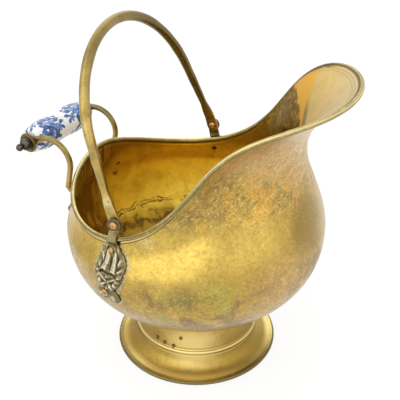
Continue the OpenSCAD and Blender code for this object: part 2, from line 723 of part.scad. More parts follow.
// ---------------------------------------------------------------- back handle
arm_y = arm_span / 2;
leaf_az = 180 - asin(arm_y / belly_r);
leaf_top_h = rim(rim_place(leaf_az))[2] - leaf_drop;
bend_x = rim_back[0] - bend_back;
grip_x = rim_back[0] - grip_back;
leaf_rows = 12;
leaf_columns = 6;
leaf_outline = [
    [0, leaf_w * 0.5], [8, leaf_w * 0.85], [18, leaf_w], [28, leaf_w * 0.8], [leaf_h, leaf_w * 0.15]];
function leaf_row(v) =
    let (z = leaf_top_h - v, w = along(leaf_outline, v), r = wall_radius(leaf_az, z),
        spread = [for (k = [0:leaf_columns]) w * (2 * k / leaf_columns - 1)])
    row_ring(
        [for (u = spread) wall_place(leaf_az - u / r * 180 / PI, z, side_gap)],
        [for (u = spread) let (thick = leaf_t * (1 - 0.3 * abs(u) / w))
            wall_place(leaf_az - u / r * 180 / PI, z, side_gap + thick)]);
// the rod leaves its bend and runs straight down to the leaf
rod_start = [bend_x + arm_bend * cos(drop_angle), bend_h + arm_bend * sin(drop_angle)];
rod_way = [sin(drop_angle), -cos(drop_angle)];
rod_end_h = leaf_top_h + 1;
// height on the leaf that the end of the rod spreads into
root_h = leaf_top_h - 9;
rod_len = (rod_start[1] - rod_end_h) / -rod_way[1];
rod_end = rod_start + rod_len * rod_way;
module on_spindle() {
    translate([grip_x, 0, grip_h])
        rotate([0, 0, -grip_yaw])
            rotate([-90, 0, 0])
                children();
}
// how far joined lengths of one rod reach into each other, and their step
lap = 1;
lap_step = 0.04;
// the rod is forged flat this far round the spindle, for the washer and the grip
eye_seat_r = max(washer_r, (grip_end_r + grip_r) / 2) + side_gap;
// side = 1 draws the left rod, whose eye is at +Y, and side = -1 the right one
module handle_rod(side) {
    difference() {
        union() {
            translate([bend_x, side * arm_y, bend_h])
                rotate([90, 0, 0])
                    rotate([0, 0, drop_angle])
                        rotate_extrude(angle = eye_turn - drop_angle)
                            translate([arm_bend, 0])
                                circle(r = arm_r);
            translate([rod_start[0], side * arm_y, rod_start[1]])
                rotate([0, atan2(rod_way[0], rod_way[1]), 0])
                    translate([0, 0, -lap])
                        cylinder(r = arm_r - lap_step, h = rod_len + lap);
            hull() {
                translate([rod_end[0], side * arm_y, rod_end[1]])
                    rotate([0, atan2(rod_way[0], rod_way[1]), 0])
                        translate([0, 0, -lap])
                            cylinder(r = arm_r - 2 * lap_step, h = lap, $fn = 24);
                on_side(side)
                    stand_at(wall_place(leaf_az, root_h, side_gap + 0.1), wall_out(leaf_az, root_h))
                        cylinder(r1 = leaf_w * 0.6, r2 = leaf_w * 0.5, h = leaf_t * 0.8, $fn = 24);
            }
            hull() {
                on_spindle()
                    translate([0, 0, side * arm_y])
                        cylinder(r = eye_r * 0.85, h = eye_t * 0.8, center = true, $fn = 32);
                translate([bend_x, side * arm_y, bend_h])
                    rotate([0, -eye_turn, 0])
                        translate([arm_bend, 0, -lap])
                            cylinder(r = arm_r - 2 * lap_step, h = lap, $fn = 24);
            }
            on_spindle()
                translate([0, 0, side * arm_y - eye_t / 2])
                    cylinder(r = eye_r, h = eye_t);
            on_side(side)
                sweep([for (i = [0:leaf_rows]) leaf_row(leaf_h * i / leaf_rows)]);
        }
        on_spindle() {
            cylinder(r = spindle_r + rivet_play, h = 3 * arm_y, center = true);
            for (face = [-1, 1])
                translate([0, 0, side * arm_y + face * (eye_t / 2 + arm_r)])
                    cylinder(r = eye_seat_r, h = 2 * arm_r, center = true);
        }
        on_side(side)
            leaf_rivet_places() {
                cylinder(r = rivet_r + rivet_play, h = 20, center = true);
                cylinder(r = head_r + 0.3, h = 10);
            }
    }
}
leaf_seat = side_gap + leaf_t * 0.8;
module leaf_rivet_places() {
    for (drop = [leaf_rivet_1, leaf_rivet_2])
        let (z = leaf_top_h - drop)
        stand_at(wall_place(leaf_az, z, leaf_seat), wall_out(leaf_az, z))
            children();
}
module handle_rod_left() {
    color(WORN_BRASS)
        handle_rod(1);
}
module handle_rod_right() {
    color(WORN_BRASS)
        handle_rod(-1);
}
module leaf_rivets() {
    color(COPPER)
        mirrored()
            leaf_rivet_places()
                rivet(rivet_r, head_r, leaf_seat + sheet_t + head_gap);
}
// the holes that the lugs' and leaves' rivets need in the wall
module wall_rivet_holes() {
    both_lugs()
        cylinder(r = rivet_r + rivet_play, h = 30, center = true);
    mirrored()
        leaf_rivet_places()
            cylinder(r = rivet_r + rivet_play, h = 20, center = true);
}

// ----------------------------------------------------------------------- grip
grip_half = arm_y - eye_t / 2 - side_gap;
washer_y = arm_y + eye_t / 2;
nut_y = washer_y + washer_t;
nut_len = 7;
ball_y = nut_len + ball_r * 0.85 + 1.2;
module grip_spindle() {
    color(STEEL)
        on_spindle()
            cylinder(r = spindle_r, h = 2 * (nut_y + nut_len - 2), center = true);
}
// radius of the porcelain by distance from its middle
function grip_radius(y) =
    let (swell = grip_half * 0.5, d = abs(y))
    (d < swell ? mix(grip_mid_r, grip_r, ease(d / swell))
        : mix(grip_end_r, grip_r, pow(cos(90 * (d - swell) / (grip_half - swell)), 0.8)))
    - (d < 5 ? grip_ring * (1 - pow(cos(d * 90), 2)) : 0);
module porcelain_grip() {
    near = [for (y = [-5:0.5:5]) y];
    far = [for (i = [1:14]) 5 + (grip_half - 5) * i / 14];
    places = concat(flip([for (y = far) -y]), near, far);
    color(PORCELAIN)
        on_spindle()
            rotate_extrude()
                polygon(concat(
                    [[spindle_r + turn_play, -grip_half]],
                    [for (y = places) [grip_radius(y), y]],
                    [[spindle_r + turn_play, grip_half]]));
}
// a cupped washer with a raised step, its flat back against the eye
module cup_washer() {
    rotate_extrude()
        polygon([
            [spindle_r + rivet_play, washer_y], [washer_r - 0.5, washer_y], [washer_r, washer_y + 0.5],
            [washer_r, washer_y + 1.1], [washer_r - 0.8, washer_y + 1.5], [nut_r + 1.2, washer_y + 1.2],
            [nut_r + 0.8, washer_y + washer_t], [spindle_r + rivet_play, washer_y + washer_t]]);
}
// a turned nut: a ring, a groove, a dome, a short neck and a ball
module end_nut() {
    translate([0, 0, nut_y])
        difference() {
            rotate_extrude()
                polygon(concat(
                    [[0, 0], [nut_r - 0.4, 0], [nut_r, 0.5], [nut_r, 1.7], [nut_r - 1, 2],
                        [nut_r - 0.9, 2.6]],
                    [for (i = [1:5])
                        [2.4 + (nut_r - 3.3) * cos(18 * i), 2.6 + (nut_len - 2.6) * sin(18 * i)]],
                    [for (a = [-50:20:90]) [ball_r * cos(a), ball_y + ball_r * sin(a)]]));
            translate([0, 0, -1])
                cylinder(r = spindle_r + rivet_play, h = nut_len - 1);
        }
}
module cup_washer_left() {
    color(BRASS)
        on_spindle()
            cup_washer();
}
module cup_washer_right() {
    color(BRASS)
        on_spindle()
            mirror([0, 0, 1])
                cup_washer();
}
module end_nut_left() {
    color(DARK_BRONZE)
        on_spindle()
            end_nut();
}
module end_nut_right() {
    color(DARK_BRONZE)
        on_spindle()
            mirror([0, 0, 1])
                end_nut();
}

bowl();
upper_body();
rim_wire();
foot();
foot_wire();
foot_rivets();
bail();
pivot_rivet_left();
pivot_rivet_right();
lion_lug_left();
lion_lug_right();
lug_rivets();
handle_rod_left();
handle_rod_right();
leaf_rivets();
grip_spindle();
porcelain_grip();
cup_washer_left();
cup_washer_right();
end_nut_left();
end_nut_right();
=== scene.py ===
# %% [markdown]
# # A brass coal scuttle, finished in Blender
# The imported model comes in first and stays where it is.  Each piece of the
# scuttle then gets its finish.  Pieces that need a finer form than the solids
# have, such as the spun body and the cast masks, are modelled again in the
# same place, and every new piece rides on the body that carries it.

import bpy
import numpy as np
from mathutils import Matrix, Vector
from mathutils.bvhtree import BVHTree
from numpy import arctan2, concatenate, cos, exp, hypot, linspace, pi, radians, sin


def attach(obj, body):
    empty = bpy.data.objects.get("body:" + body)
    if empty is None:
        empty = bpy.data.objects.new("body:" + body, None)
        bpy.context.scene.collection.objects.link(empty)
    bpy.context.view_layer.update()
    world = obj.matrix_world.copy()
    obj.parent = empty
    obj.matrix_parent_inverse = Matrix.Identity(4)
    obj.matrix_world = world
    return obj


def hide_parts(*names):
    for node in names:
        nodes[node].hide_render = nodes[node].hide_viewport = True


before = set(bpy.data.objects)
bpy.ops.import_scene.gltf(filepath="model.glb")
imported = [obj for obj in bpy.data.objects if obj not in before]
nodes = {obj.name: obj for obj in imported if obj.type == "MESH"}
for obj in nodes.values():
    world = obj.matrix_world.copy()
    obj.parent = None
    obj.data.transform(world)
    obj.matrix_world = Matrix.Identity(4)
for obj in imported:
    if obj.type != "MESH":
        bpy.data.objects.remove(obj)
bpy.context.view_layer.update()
scene = bpy.context.scene
MM = 0.001

# %% [markdown]
# ## The camera
# The photograph was taken from above the right side, a little from the front.
# The camera looks at a point inside the scuttle, from 0.76 m away, with no
# roll.  A lens of 66.6 mm gives the same perspective as the photograph.

# %% Place the camera
TURN, TILT = radians(25.24), radians(30.43)
LOOK_AT = Vector((4.3, 0.0, 174.3)) * MM
AWAY = 0.7582
LENS, SENSOR = 66.6, 36
back = Vector((sin(TURN) * cos(TILT), -cos(TURN) * cos(TILT), sin(TILT)))
lens = bpy.data.cameras.new("camera")
lens.lens, lens.sensor_width, lens.clip_start = LENS, SENSOR, 0.01
camera = bpy.data.objects.new("camera", lens)
camera.location = LOOK_AT + back * AWAY
camera.rotation_euler = (-back).to_track_quat("-Z", "Y").to_euler()
scene.collection.objects.link(camera)
scene.camera = camera
print("camera at", [round(v, 3) for v in camera.location])

# %% [markdown]
# ## Small helpers
# A shader is a tree of nodes.  What leaves a node is a wire, and sums and
# products of wires add the math nodes that work them out.  So each material
# below reads like a formula, from its pattern to its finish.


# %% Helpers for shader nodes
class Wire:
    """A value on its way from one node to the next.  The signs + - * / add math nodes."""

    def __init__(self, socket):
        self.socket = socket

    def __abs__(self):
        return calc("ABSOLUTE", self)


SIGNS = {"add": "ADD", "sub": "SUBTRACT", "mul": "MULTIPLY", "truediv": "DIVIDE"}
for sign, operation in SIGNS.items():
    setattr(Wire, f"__{sign}__", lambda a, b, way=operation: calc(way, a, b))
    setattr(Wire, f"__r{sign}__", lambda a, b, way=operation: calc(way, b, a))


class Made:
    """A node in its tree.  Its outputs are wires, by name."""

    def __init__(self, node):
        self.node = node

    def __getitem__(self, key):
        return Wire(self.node.outputs[key])


def feed(node, inputs):
    """Gives a node's inputs their wires or fixed values.  Colours are in percent."""
    for key, value in inputs.items():
        socket = node.inputs[key]
        if isinstance(value, Wire):
            socket.id_data.links.new(value.socket, socket)
        else:
            is_colour = socket.type == "RGBA"
            socket.default_value = (*[part / 100 for part in value], 1) if is_colour else value


def add(kind, inputs, tree=None, **settings):
    """Adds a node where its first wire comes from, sets it up, and feeds its inputs."""
    if tree is None:
        tree = next(v for v in inputs.values() if isinstance(v, Wire)).socket.id_data
    node = tree.nodes.new("ShaderNode" + kind)
    for name, value in settings.items():
        setattr(node, name, value)
    feed(node, inputs)
    return Made(node)


def calc(operation, a, b=0, c=0):
    return add("Math", {0: a, 1: b, 2: c}, operation=operation)[0]


def vector(operation, a, b=(0, 0, 0), out="Vector"):
    return add("VectorMath", {0: a, 1: b}, operation=operation)[out]


def gap_to(place, middle):
    return vector("DISTANCE", place, middle, "Value")


def axes_of(place):
    axes = add("SeparateXYZ", {"Vector": place})
    return axes["X"], axes["Y"], axes["Z"]


def joined(x, y, z):
    return add("CombineXYZ", {"X": x, "Y": y, "Z": z})["Vector"]


def from_axis(place):
    """How far a place is from the upright line through the middle."""
    return vector("LENGTH", vector("MULTIPLY", place, (1, 1, 0)), out="Value")


def noise(place, scale, detail, **more):
    return add("TexNoise", {"Vector": place, "Scale": scale, "Detail": detail, **more})["Fac"]


def step(value, low, high, kind="SMOOTHSTEP"):
    """0 at low and 1 at high, with a passage between them."""
    inputs = {"Value": value, "From Min": low, "From Max": high}
    return add("MapRange", inputs, interpolation_type=kind)["Result"]


def most(first, *others):
    for other in others:
        first = calc("MAXIMUM", first, other)
    return first


def tint(share, first, second):
    return add("Mix", {0: share, 6: first, 7: second}, data_type="RGBA")[2]


def paint(colour, *coats):
    """Lays coats over a colour in their order.  Each is a mask and the colour that it brings."""
    for mask, over in coats:
        colour = tint(mask, colour, over)
    return colour


def use(group, **inputs):
    return add("Group", inputs, node_tree=group)


def new_group(name, inputs, outputs):
    """A group of nodes with number sockets, of which Place is a vector, and its wires in."""
    tree = bpy.data.node_groups.new(name, "ShaderNodeTree")
    for socket, value in inputs.items():
        kind = "NodeSocketVector" if socket == "Place" else "NodeSocketFloat"
        tree.interface.new_socket(socket, in_out="INPUT", socket_type=kind).default_value = value
    for socket in outputs:
        tree.interface.new_socket(socket, in_out="OUTPUT", socket_type="NodeSocketFloat")
    return tree, Made(tree.nodes.new("NodeGroupInput"))


def hand_out(tree, **results):
    feed(tree.nodes.new("NodeGroupOutput"), results)


def new_material(name, metallic, roughness):
    """A material, its one Principled shader, and the place on the object in millimetres."""
    material = bpy.data.materials.new(name)
    material.use_nodes = True
    tree = material.node_tree
    shader = tree.nodes["Principled BSDF"]
    feed(shader, {"Metallic": metallic, "Roughness": roughness})
    on_object = add("TexCoord", {}, tree)["Object"]
    place = add("VectorMath", {0: on_object, "Scale": 1 / MM}, operation="SCALE")["Vector"]
    return material, shader, place


def coat(shader, colour, height, **more):
    """Gives the shader its colour, and a height in millimetres that tilts the light on it."""
    bump = add("Bump", {"Height": height, "Distance": MM, "Strength": 1})["Normal"]
    feed(shader, {"Base Color": colour, "Normal": bump, **more})


# %% [markdown]
# ## Patterns that several finishes share
# Old brass is never one colour.  Clouds of tarnish, fine speckle and drawn
# scratches lie over each other at different sizes.  They are built once, as
# node groups, and each finish mixes them with its own colours.

# %% Build the shared patterns
ORIGIN = (0, 0, 0)
patches, given = new_group(
    "patches", {"Place": ORIGIN, "Size": 30, "Detail": 4, "Warp": 0.5, "Low": 0.45, "High": 0.6},
    ["Mask"])
cloud = noise(given["Place"], 1 / given["Size"], given["Detail"],
              Roughness=0.6, Distortion=given["Warp"])
hand_out(patches, Mask=step(cloud, given["Low"], given["High"], "LINEAR"))

speckle, given = new_group("speckle", {"Place": ORIGIN, "Size": 2, "Share": 0.3}, ["Mask"])
grains = add("TexVoronoi", {"Vector": given["Place"], "Scale": 1 / given["Size"]})
lot = add("SeparateColor", {"Color": grains["Color"]})["Red"]
hand_out(speckle, Mask=calc("LESS_THAN", lot, given["Share"]) * step(grains["Distance"], 0.5, 0.2))

scratches, given = new_group(
    "scratches", {"Place": ORIGIN, "Length": 20, "Width": 0.8, "Low": 0.6, "High": 0.75}, ["Mask"])
x, y, z = axes_of(given["Place"])
drawn = noise(joined(x / given["Length"], y / given["Length"], z / given["Width"]), 1, 3)
hand_out(scratches, Mask=step(drawn, given["Low"], given["High"], "LINEAR"))
print("patterns:", [g.name for g in (patches, speckle, scratches)])


# %% Helpers that say where a pattern shows
def blotches(place, size, low, high, detail=6, warp=0.8):
    return use(patches, Place=place, Size=size, Low=low, High=high, Detail=detail, Warp=warp)["Mask"]


def within(place, middle, full, none):
    """1 up to one distance from a place, and 0 from another on."""
    return step(gap_to(place, middle), none, full)


def line_at(value, middle, half):
    """A soft line where a value passes a number."""
    return step(abs(value - middle), half, half * 0.3)


def wander(place, scale, reach):
    """A slow change to both sides of nothing, which makes an edge ragged."""
    return (noise(place, scale, 4) - 0.5) * reach


def carried(name, beside):
    """A value that the piece carries at each point, in the same tree as another wire."""
    return add("Attribute", {}, beside.socket.id_data, attribute_name=name)["Fac"]


# %% [markdown]
# ## The sheet brass of the body
# The outside is mottled: honey brass with pink and green tarnish, smoother
# round the belly, speckled and scratched under the rim.  A finish is one
# colour with coats painted over it, and each coat has a mask made of places
# and patterns.  Places are in millimetres, X forward, Y to the left and Z up,
# and colours are in percent of red, green and blue.

# %% Where single stains lie outside
# middle, how far it is full, where it ends, colour or share
STAINS = [((72, -112, 147), 8, 27, (52, 46, 8.5)), ((44, -125, 147), 4, 21, (27, 21.5, 8)),
          ((-10, -132, 140), 9, 36, (66, 40, 7.5))]
HIGHLIGHT_SPOTS = [((20, -122, 178), 8, 44, 0.4), ((58, -106, 186), 4, 38, 0.45), ((92, -76, 196), 6, 36, 0.25)]
CRUSTS = [((-10, -125, 168), 1.5, 7), ((6, -117, 193), 3, 13)]
FRONT, CHEEK = (132, -20, 192), (118, -62, 140)
DROP, RING_MARK = (51.5, -98.1, 207.8), (81.9, -104.8, 133)
HIGHLIGHT_BAND_HEIGHT = 187


# %% Outside of the body
def outside_brass(place, x, y, z):
    """Colour of the outer face, its tarnish, a band of painted highlight round the belly, and the
    grain.
    """
    shaken = z + wander(place, 0.03, 34)
    band = step(abs(shaken - HIGHLIGHT_BAND_HEIGHT), 26, 3)
    low = step(shaken, 170, 142)
    speckled = step(shaken, 199, 216)
    lip = step(x * 0.75 + shaken, 296, 340)
    grey = blotches(place, 26, 0.45, 0.58, 7)
    brown = blotches(place, 8, 0.46, 0.58, 8, 1.2)
    front_shade_edge = gap_to(place, FRONT) + wander(place, 0.09, 26)
    front = step(front_shade_edge, 50, 18) * step(x, 108, 120)
    drop = gap_to(place, DROP) + wander(place, 0.3, 3.5)
    grain = blotches(place, 2.6, 0.40, 0.64)
    busy = most(speckled, low * 0.65)
    leaning = joined(x, y, z - x * 0.85)
    drawn = use(scratches, Place=leaning, Length=30, Width=1.3, Low=0.58, High=0.7)["Mask"]
    honey = tint(blotches(place, 42, 0.36, 0.62, 4), (50, 32.5, 5.5), (62, 41.5, 8.5))
    colour = paint(
        # a band of painted highlight round the belly, lighter towards the back
        honey, (band * step(x, 108, 34) * 0.62, (72, 48.5, 8.5)),
        # below the widest place: grey, green and orange tarnish, and a painted pale reflection of the
        # floor at the very bottom
        (low * grey * 0.85, (24, 16.5, 6)),
        (low * blotches(place, 33, 0.52, 0.62, 7, 1.2) * 0.7, (40, 38.5, 9)),
        *[(within(place, middle, full, none) * blotches(place, 11, 0.36, 0.56, 8) * 0.72, stain)
          for middle, full, none, stain in STAINS],
        (low * blotches(place, 13, 0.56, 0.66) * 0.65, (72, 38.5, 6)),
        (step(z, 128, 104) * 0.55, (60, 44, 27)),
        # speckled tarnish under the rim: brown, moss and a warm zone
        (speckled * brown * 0.7, (27, 16.5, 4)),
        (speckled * blotches(place, 19, 0.53, 0.62, 7, 1.4) * 0.5, (33, 30, 12)),
        (speckled * step(x, 45, 85) * blotches(place, 17, 0.46, 0.56, 7) * 0.72, (76, 40, 6.5)),
        # the outside of the lip is pinkish and pale, partly tarnish and partly painted reflection, with
        # a painted white reflection towards its front edge
        (lip * 0.7, (78, 55, 24)),
        (lip * blotches(place, 20, 0.42, 0.6, 7) * 0.6, (66, 34, 13)),
        (step(x, 104, 128) * lip * 0.6, (95, 84, 60)),
        # single places: painted shade on the front, a warm cheek, painted highlight spots, a worn drop,
        # a ring mark and crusts
        (front * 0.8, (30, 19, 3)),
        (within(place, CHEEK, 14, 56) * 0.5, (72, 44, 19)),
        *[(within(place, middle, full, none) * share, (96, 68, 13.5))
          for middle, full, none, share in HIGHLIGHT_SPOTS],
        (step(drop, 6.2, 4.6) * 0.85, (74, 44, 6)),
        (line_at(gap_to(place, RING_MARK), 2.8, 1) * 0.55, (84, 66, 42)),
        *[(within(place, middle, full, none) * blotches(place, 3.2, 0.47, 0.56) * 0.45, (86, 78, 50))
          for middle, full, none in CRUSTS],
        # grain, mottle, specks and drawn scratches
        (grain * 0.42, (24, 15, 3.5)),
        (blotches(place, 7, 0.46, 0.62, 8) * 0.3, (30, 20, 4)),
        (blotches(place, 2.1, 0.565, 0.66, 4) * (busy * 0.42 + 0.2), (93, 74, 33)),
        (blotches(vector("ADD", place, (31, 17, 5)), 2, 0.60, 0.68, 4) * busy * 0.8, (12, 6.5, 2)),
        (drawn * most(speckled, lip) * 0.36, (90, 72, 34)))
    return colour, most(low * grey, speckled * most(brown, 0.5)), band, grain


# %% [markdown]
# The inside is a deeper gold with dark stains and a pale lip.  Light that comes
# in over the rim is thrown from wall to wall, so its light and shade on the forms
# there are painted as well: a bright middle, a dark top and throat, a gold edge, and upright folds.

# %% Inside of the body
SEAM_LINES = [(106, 1.8), (109.5, 1.2)]
GROOVES_IN = [6.6, 9.6]
NICKS = (112, 47, 286)


def inside_brass(place, x, y, z, from_wire):
    """Colour of the inner face, and the share of its brazed seam."""
    shaken = z + wander(place, 0.035, 22)
    sideways = abs(y)
    near_half = step(y, -40, 20)
    rear = step(y, 46, 2) * step(x, -70, -104)
    folds = use(scratches, Place=place, Length=6, Width=90, Low=0.5, High=0.62)["Mask"]
    throat = step(shaken, 190, 228) * step(x, -20, 60) * step(sideways, 22, 58)
    reach = x + sideways * 0.5 + wander(place, 0.12, 6)
    gold = most(step(reach, 115.5, 117), step(sideways, 50, 30))
    gold = gold * step(shaken, 205, 236) * step(x, 0, 40)
    lip = step(x + wander(place, 0.06, 10), 88, 92) * gold
    beige = tint(step(x, 96, 140), (62, 43, 14), (56, 44, 22))
    beige = tint(blotches(place, 22, 0.45, 0.6) * 0.5, beige, (50, 37.5, 15))
    streak = line_at(x, 91, 4) * step(z, 280, 262) * step(z, 226, 246) * gold
    ragged = z + wander(place, 0.07, 16)
    seam = most(*[line_at(ragged, *line) for line in SEAM_LINES]) * blotches(place, 13, 0.40, 0.52)
    colour = paint(
        tint(step(shaken, 78, 120), (84, 58, 8), (100, 80, 13)),
        # a painted bright golden middle, painted shade at the top, clouds and dabs, and a dark bottom
        (step(shaken, 140, 172) * step(y, -60, 10) * 0.9, (100, 66, 6)),
        (step(shaken, 170, 190) * step(y, -70, 0) * 0.9, (31, 15.5, 1.2)),
        (blotches(place, 24, 0.48, 0.68) * near_half * 0.5, (46, 25, 1.5)),
        (blotches(place, 7, 0.52, 0.64, 7) * near_half * 0.16, (34, 19, 1.5)),
        (step(shaken, 106, 92) * step(y, 0, 50) * 0.8, (33, 19.5, 2)),
        # the back is in painted shade, with painted light on upright folds
        (rear * 0.88, (17, 8, 0.8)),
        (rear * folds * 0.6, (70, 45, 9)),
        # the throat is in painted shade, mottled, up to an edge, then painted gold light, then the pale
        # lip
        (throat * 0.9, (19, 10.5, 0.8)),
        (throat * blotches(place, 6, 0.5, 0.6, 7) * 0.75, (46, 27, 3.5)),
        (throat * blotches(place, 9, 0.46, 0.58, 8) * 0.5, (8.5, 5, 0.6)),
        (gold, (66, 37, 4.5)),
        (lip, beige),
        (streak * 0.8, (24, 16.5, 3)),
        (within(place, NICKS, 5, 18) * blotches(place, 2.4, 0.62, 0.66) * 0.8, (22, 14, 5)),
        *[(line_at(from_wire, groove, 0.75) * step(x, 70, 95) * 0.62, (36, 27, 12))
          for groove in GROOVES_IN],
        # the brazed seam runs level but ragged, with flux stains below it
        (seam * 0.85, (12, 7, 1.5)),
        (line_at(ragged, 93, 8) * blotches(place, 16, 0.46, 0.56, 7) * 0.85, (10, 6, 1.5)))
    return colour, seam


# %% [markdown]
# The piece itself carries four values at each point: whether it faces in, how
# far it is from the rim wire and from the castings, and how far round the roll
# it lies.  The finish of the whole sheet reads them to join both faces, to
# draw the bead, and to let grime gather round the castings.

# %% Finish of the whole sheet
SOLDER, FAR_LINE = (93, 92, 296), (84, 84, 286)
BODY_ROUGHNESS = 0.34


def body_brass(name):
    material, shader, place = new_material(name, 1, 0.35)
    x, y, z = axes_of(place)
    facing_in, from_wire, from_lug, turned_by = (
        carried(key, place) for key in ("facing_in", "from_wire", "from_lug", "roll_turn"))
    outside, tarnish, band, grain = outside_brass(place, x, y, z)
    inside, seam = inside_brass(place, x, y, z, from_wire)
    outer = 1 - facing_in
    bead = step(from_wire, 2.9, 2.5)
    dark_lines = most(line_at(from_wire, 2.95, 0.8), line_at(from_wire, 5.7, 0.8) * outer)
    solder = (within(place, SOLDER, 8, 22) * step(from_wire, 7, 4) * facing_in
              * blotches(place, 5, 0.42, 0.52))
    grime = step(from_lug, 5, 0.8) * outer
    colour = paint(
        tint(facing_in, outside, inside),
        # the bead, with a painted highlight along the top of its roll and the dark line where it
        # closes, and a painted highlight on a second ridge outside it
        (bead * 0.85, (40, 31.5, 10)),
        (bead * blotches(place, 12, 0.46, 0.62) * 0.5, (76, 60, 24)),
        (line_at(turned_by, 82, 20) * bead * 0.75, (100, 87, 44)),
        (line_at(turned_by, 158, 20) * bead * 0.8, (12, 9.5, 3)),
        (line_at(from_wire, 4.3, 1.2) * outer * 0.85, (78, 60, 22)),
        (dark_lines * 0.92, (9, 7, 2.2)),
        # inside, shade and solder lie under the bead
        (step(from_wire, 5, 3) * facing_in * step(from_wire, 2.4, 3) * 0.7, (10, 8, 2)),
        (solder * 0.9, (9, 6.5, 2)),
        (within(place, FAR_LINE, 16, 44) * step(from_wire, 6.4, 4.2) * facing_in * 0.75, (12, 8, 2)),
        # old polish and grime gather round the castings
        (grime * 0.8, (15, 12.5, 4.5)),
        (grime * blotches(place, 4, 0.44, 0.56) * 0.65, (80, 76, 52)))
    # old lacquer outside only; rough where it is tarnished, smoother in the band of painted highlight
    rough = tarnish * outer * 0.12 + facing_in * 0.16 + BODY_ROUGHNESS - band * outer * 0.06
    pits = grain * (tarnish * 0.75 + 0.25) * outer * 0.05
    form = wander(place, 0.03, 0.7) - pits - seam * facing_in * 0.25 + solder * 0.8
    coat(shader, colour, form, Roughness=rough)
    feed(shader, {"Coat Weight": outer * 0.28, "Coat Roughness": 0.2})
    return material


sheet_finish = body_brass("sheet_brass")
print("finish:", sheet_finish.name, len(sheet_finish.node_tree.nodes), "nodes")

# %% [markdown]
# ## Plain brass, copper, cast metal, iron and glaze
# The foot, the bail and the rods are the same brass with less tarnish.  The
# rivets are copper, their crowns rubbed bright.  The masks are cast in a dark
# grey metal, pale where hands and polish reach.


# %% Finish of the smaller pieces
def plain_brass(name, light, deep, dark, roughness, cloud_size=30, dark_share=0.4, fine_share=0.25):
    material, shader, place = new_material(name, 1, roughness)
    smoky = blotches(place, cloud_size * 0.45, 0.5, 0.7, 7)
    fine = blotches(place, 2.4, 0.48, 0.66, 5, 0.5)
    grains = use(speckle, Place=place, Size=2.6, Share=0.07)["Mask"]
    colour = paint(
        tint(blotches(place, cloud_size, 0.4, 0.62, 4, 0.5), deep, light),
        (smoky * dark_share, dark), (fine * fine_share, dark), (grains * 0.4, (14, 9, 3)))
    coat(shader, colour, noise(place, 0.06, 2) * 0.25 - fine * 0.03, Roughness=smoky * 0.12 + roughness)
    return material, shader, place, colour


def rod_brass(name):
    """Plain brass, in painted shade over the top and deepest on the far leg, with a smear of solder by
    the near pivot.
    """
    material, shader, place, colour = plain_brass(
        name, (56, 41, 13.5), (40, 29, 9), (15, 11, 3.5), 0.30, 34, 0.45, 0.2)
    _, y, z = axes_of(place)
    # painted shade over the top of the bail, deepest on the far leg
    top_shade = step(y, -104, -60) * 0.55 + step(y, -20, 60) * 0.35
    smear = within(place, (-36, -113, 222), 3.5, 8) * blotches(place, 3, 0.42, 0.52)
    feed(shader, {"Base Color": paint(
        colour, (top_shade * step(z, 205, 232), (15, 11.5, 4.5)), (smear * 0.7, (74, 66, 34)))})
    return material


FOOT_SIDE_SHADES = [(-62, -44, 8), (74, -16, 8)]
FOOT_RING_HIGHLIGHTS = [(25.6, 1.5, 0.5), (19.6, 1.3, 0.25)]


def foot_brass(name):
    """Plain brass, with painted highlights on the ring and the neck, a painted reflection of the floor
    on the flare, painted shade on both sides, and dark along the rolled edge.
    """
    material, shader, place, colour = plain_brass(
        name, (50, 34, 8), (42, 27.5, 5.5), (25, 16.5, 3.5), 0.36)
    reach, z = from_axis(place), axes_of(place)[2]
    shade = most(line_at(z, 22, 1.1), line_at(z, 28.6, 1.4))
    chips = blotches(place, 3, 0.62, 0.66) * within(place, (-84, -16, 4), 12, 40)
    feed(shader, {"Base Color": paint(
        # a painted reflection of the floor on the flare, a painted highlight on the neck, painted shade
        # on both sides, painted highlights along the ring, its painted shade lines, and dark lines and
        # pale chips at the rolled edge
        colour, (step(reach, 75, 81) * 0.85, (100, 84, 34)),
        (within(place, (24, -60, 36), 6, 40) * 0.8, (94, 74, 29)),
        *[(within(place, middle, 12, 58) * 0.85, (30, 19, 3.5)) for middle in FOOT_SIDE_SHADES],
        *[(line_at(z, middle, half) * share, (98, 82, 40)) for middle, half, share in FOOT_RING_HIGHLIGHTS],
        (shade * 0.6, (28, 19, 5)), (line_at(reach, 83.2, 0.9) * 0.3, (20, 15, 4)),
        (step(reach, 85.2, 86.4) * 0.9, (12, 10, 4)), (chips * 0.9, (94, 93, 86)))})
    return material


rod_finish, foot_finish = rod_brass("rod_brass"), foot_brass("foot_brass")
washer_finish = plain_brass(
    "washer_brass", (30, 22, 8.5), (19, 13.5, 5), (6, 4.5, 1.8), 0.36, 9, 0.6)[0]
print("finishes:", foot_finish.name, rod_finish.name, washer_finish.name)


# %% Finish of the rivets, the castings, the iron and the nuts
def copper(name, deep, light):
    """Rubbed copper; the heads indoors are dark."""
    material, shader, place = new_material(name, 1, 0.34)
    cloudy = blotches(place, 3, 0.42, 0.6, 5, 0.5)
    indoors = step(from_axis(place), 121, 119) * line_at(axes_of(place)[2], 160, 32)
    colour = paint(tint(cloudy, deep, light), (step(indoors, 0, 0.1), (8.5, 3.5, 1.5)))
    coat(shader, colour, cloudy * 0.08)
    return material


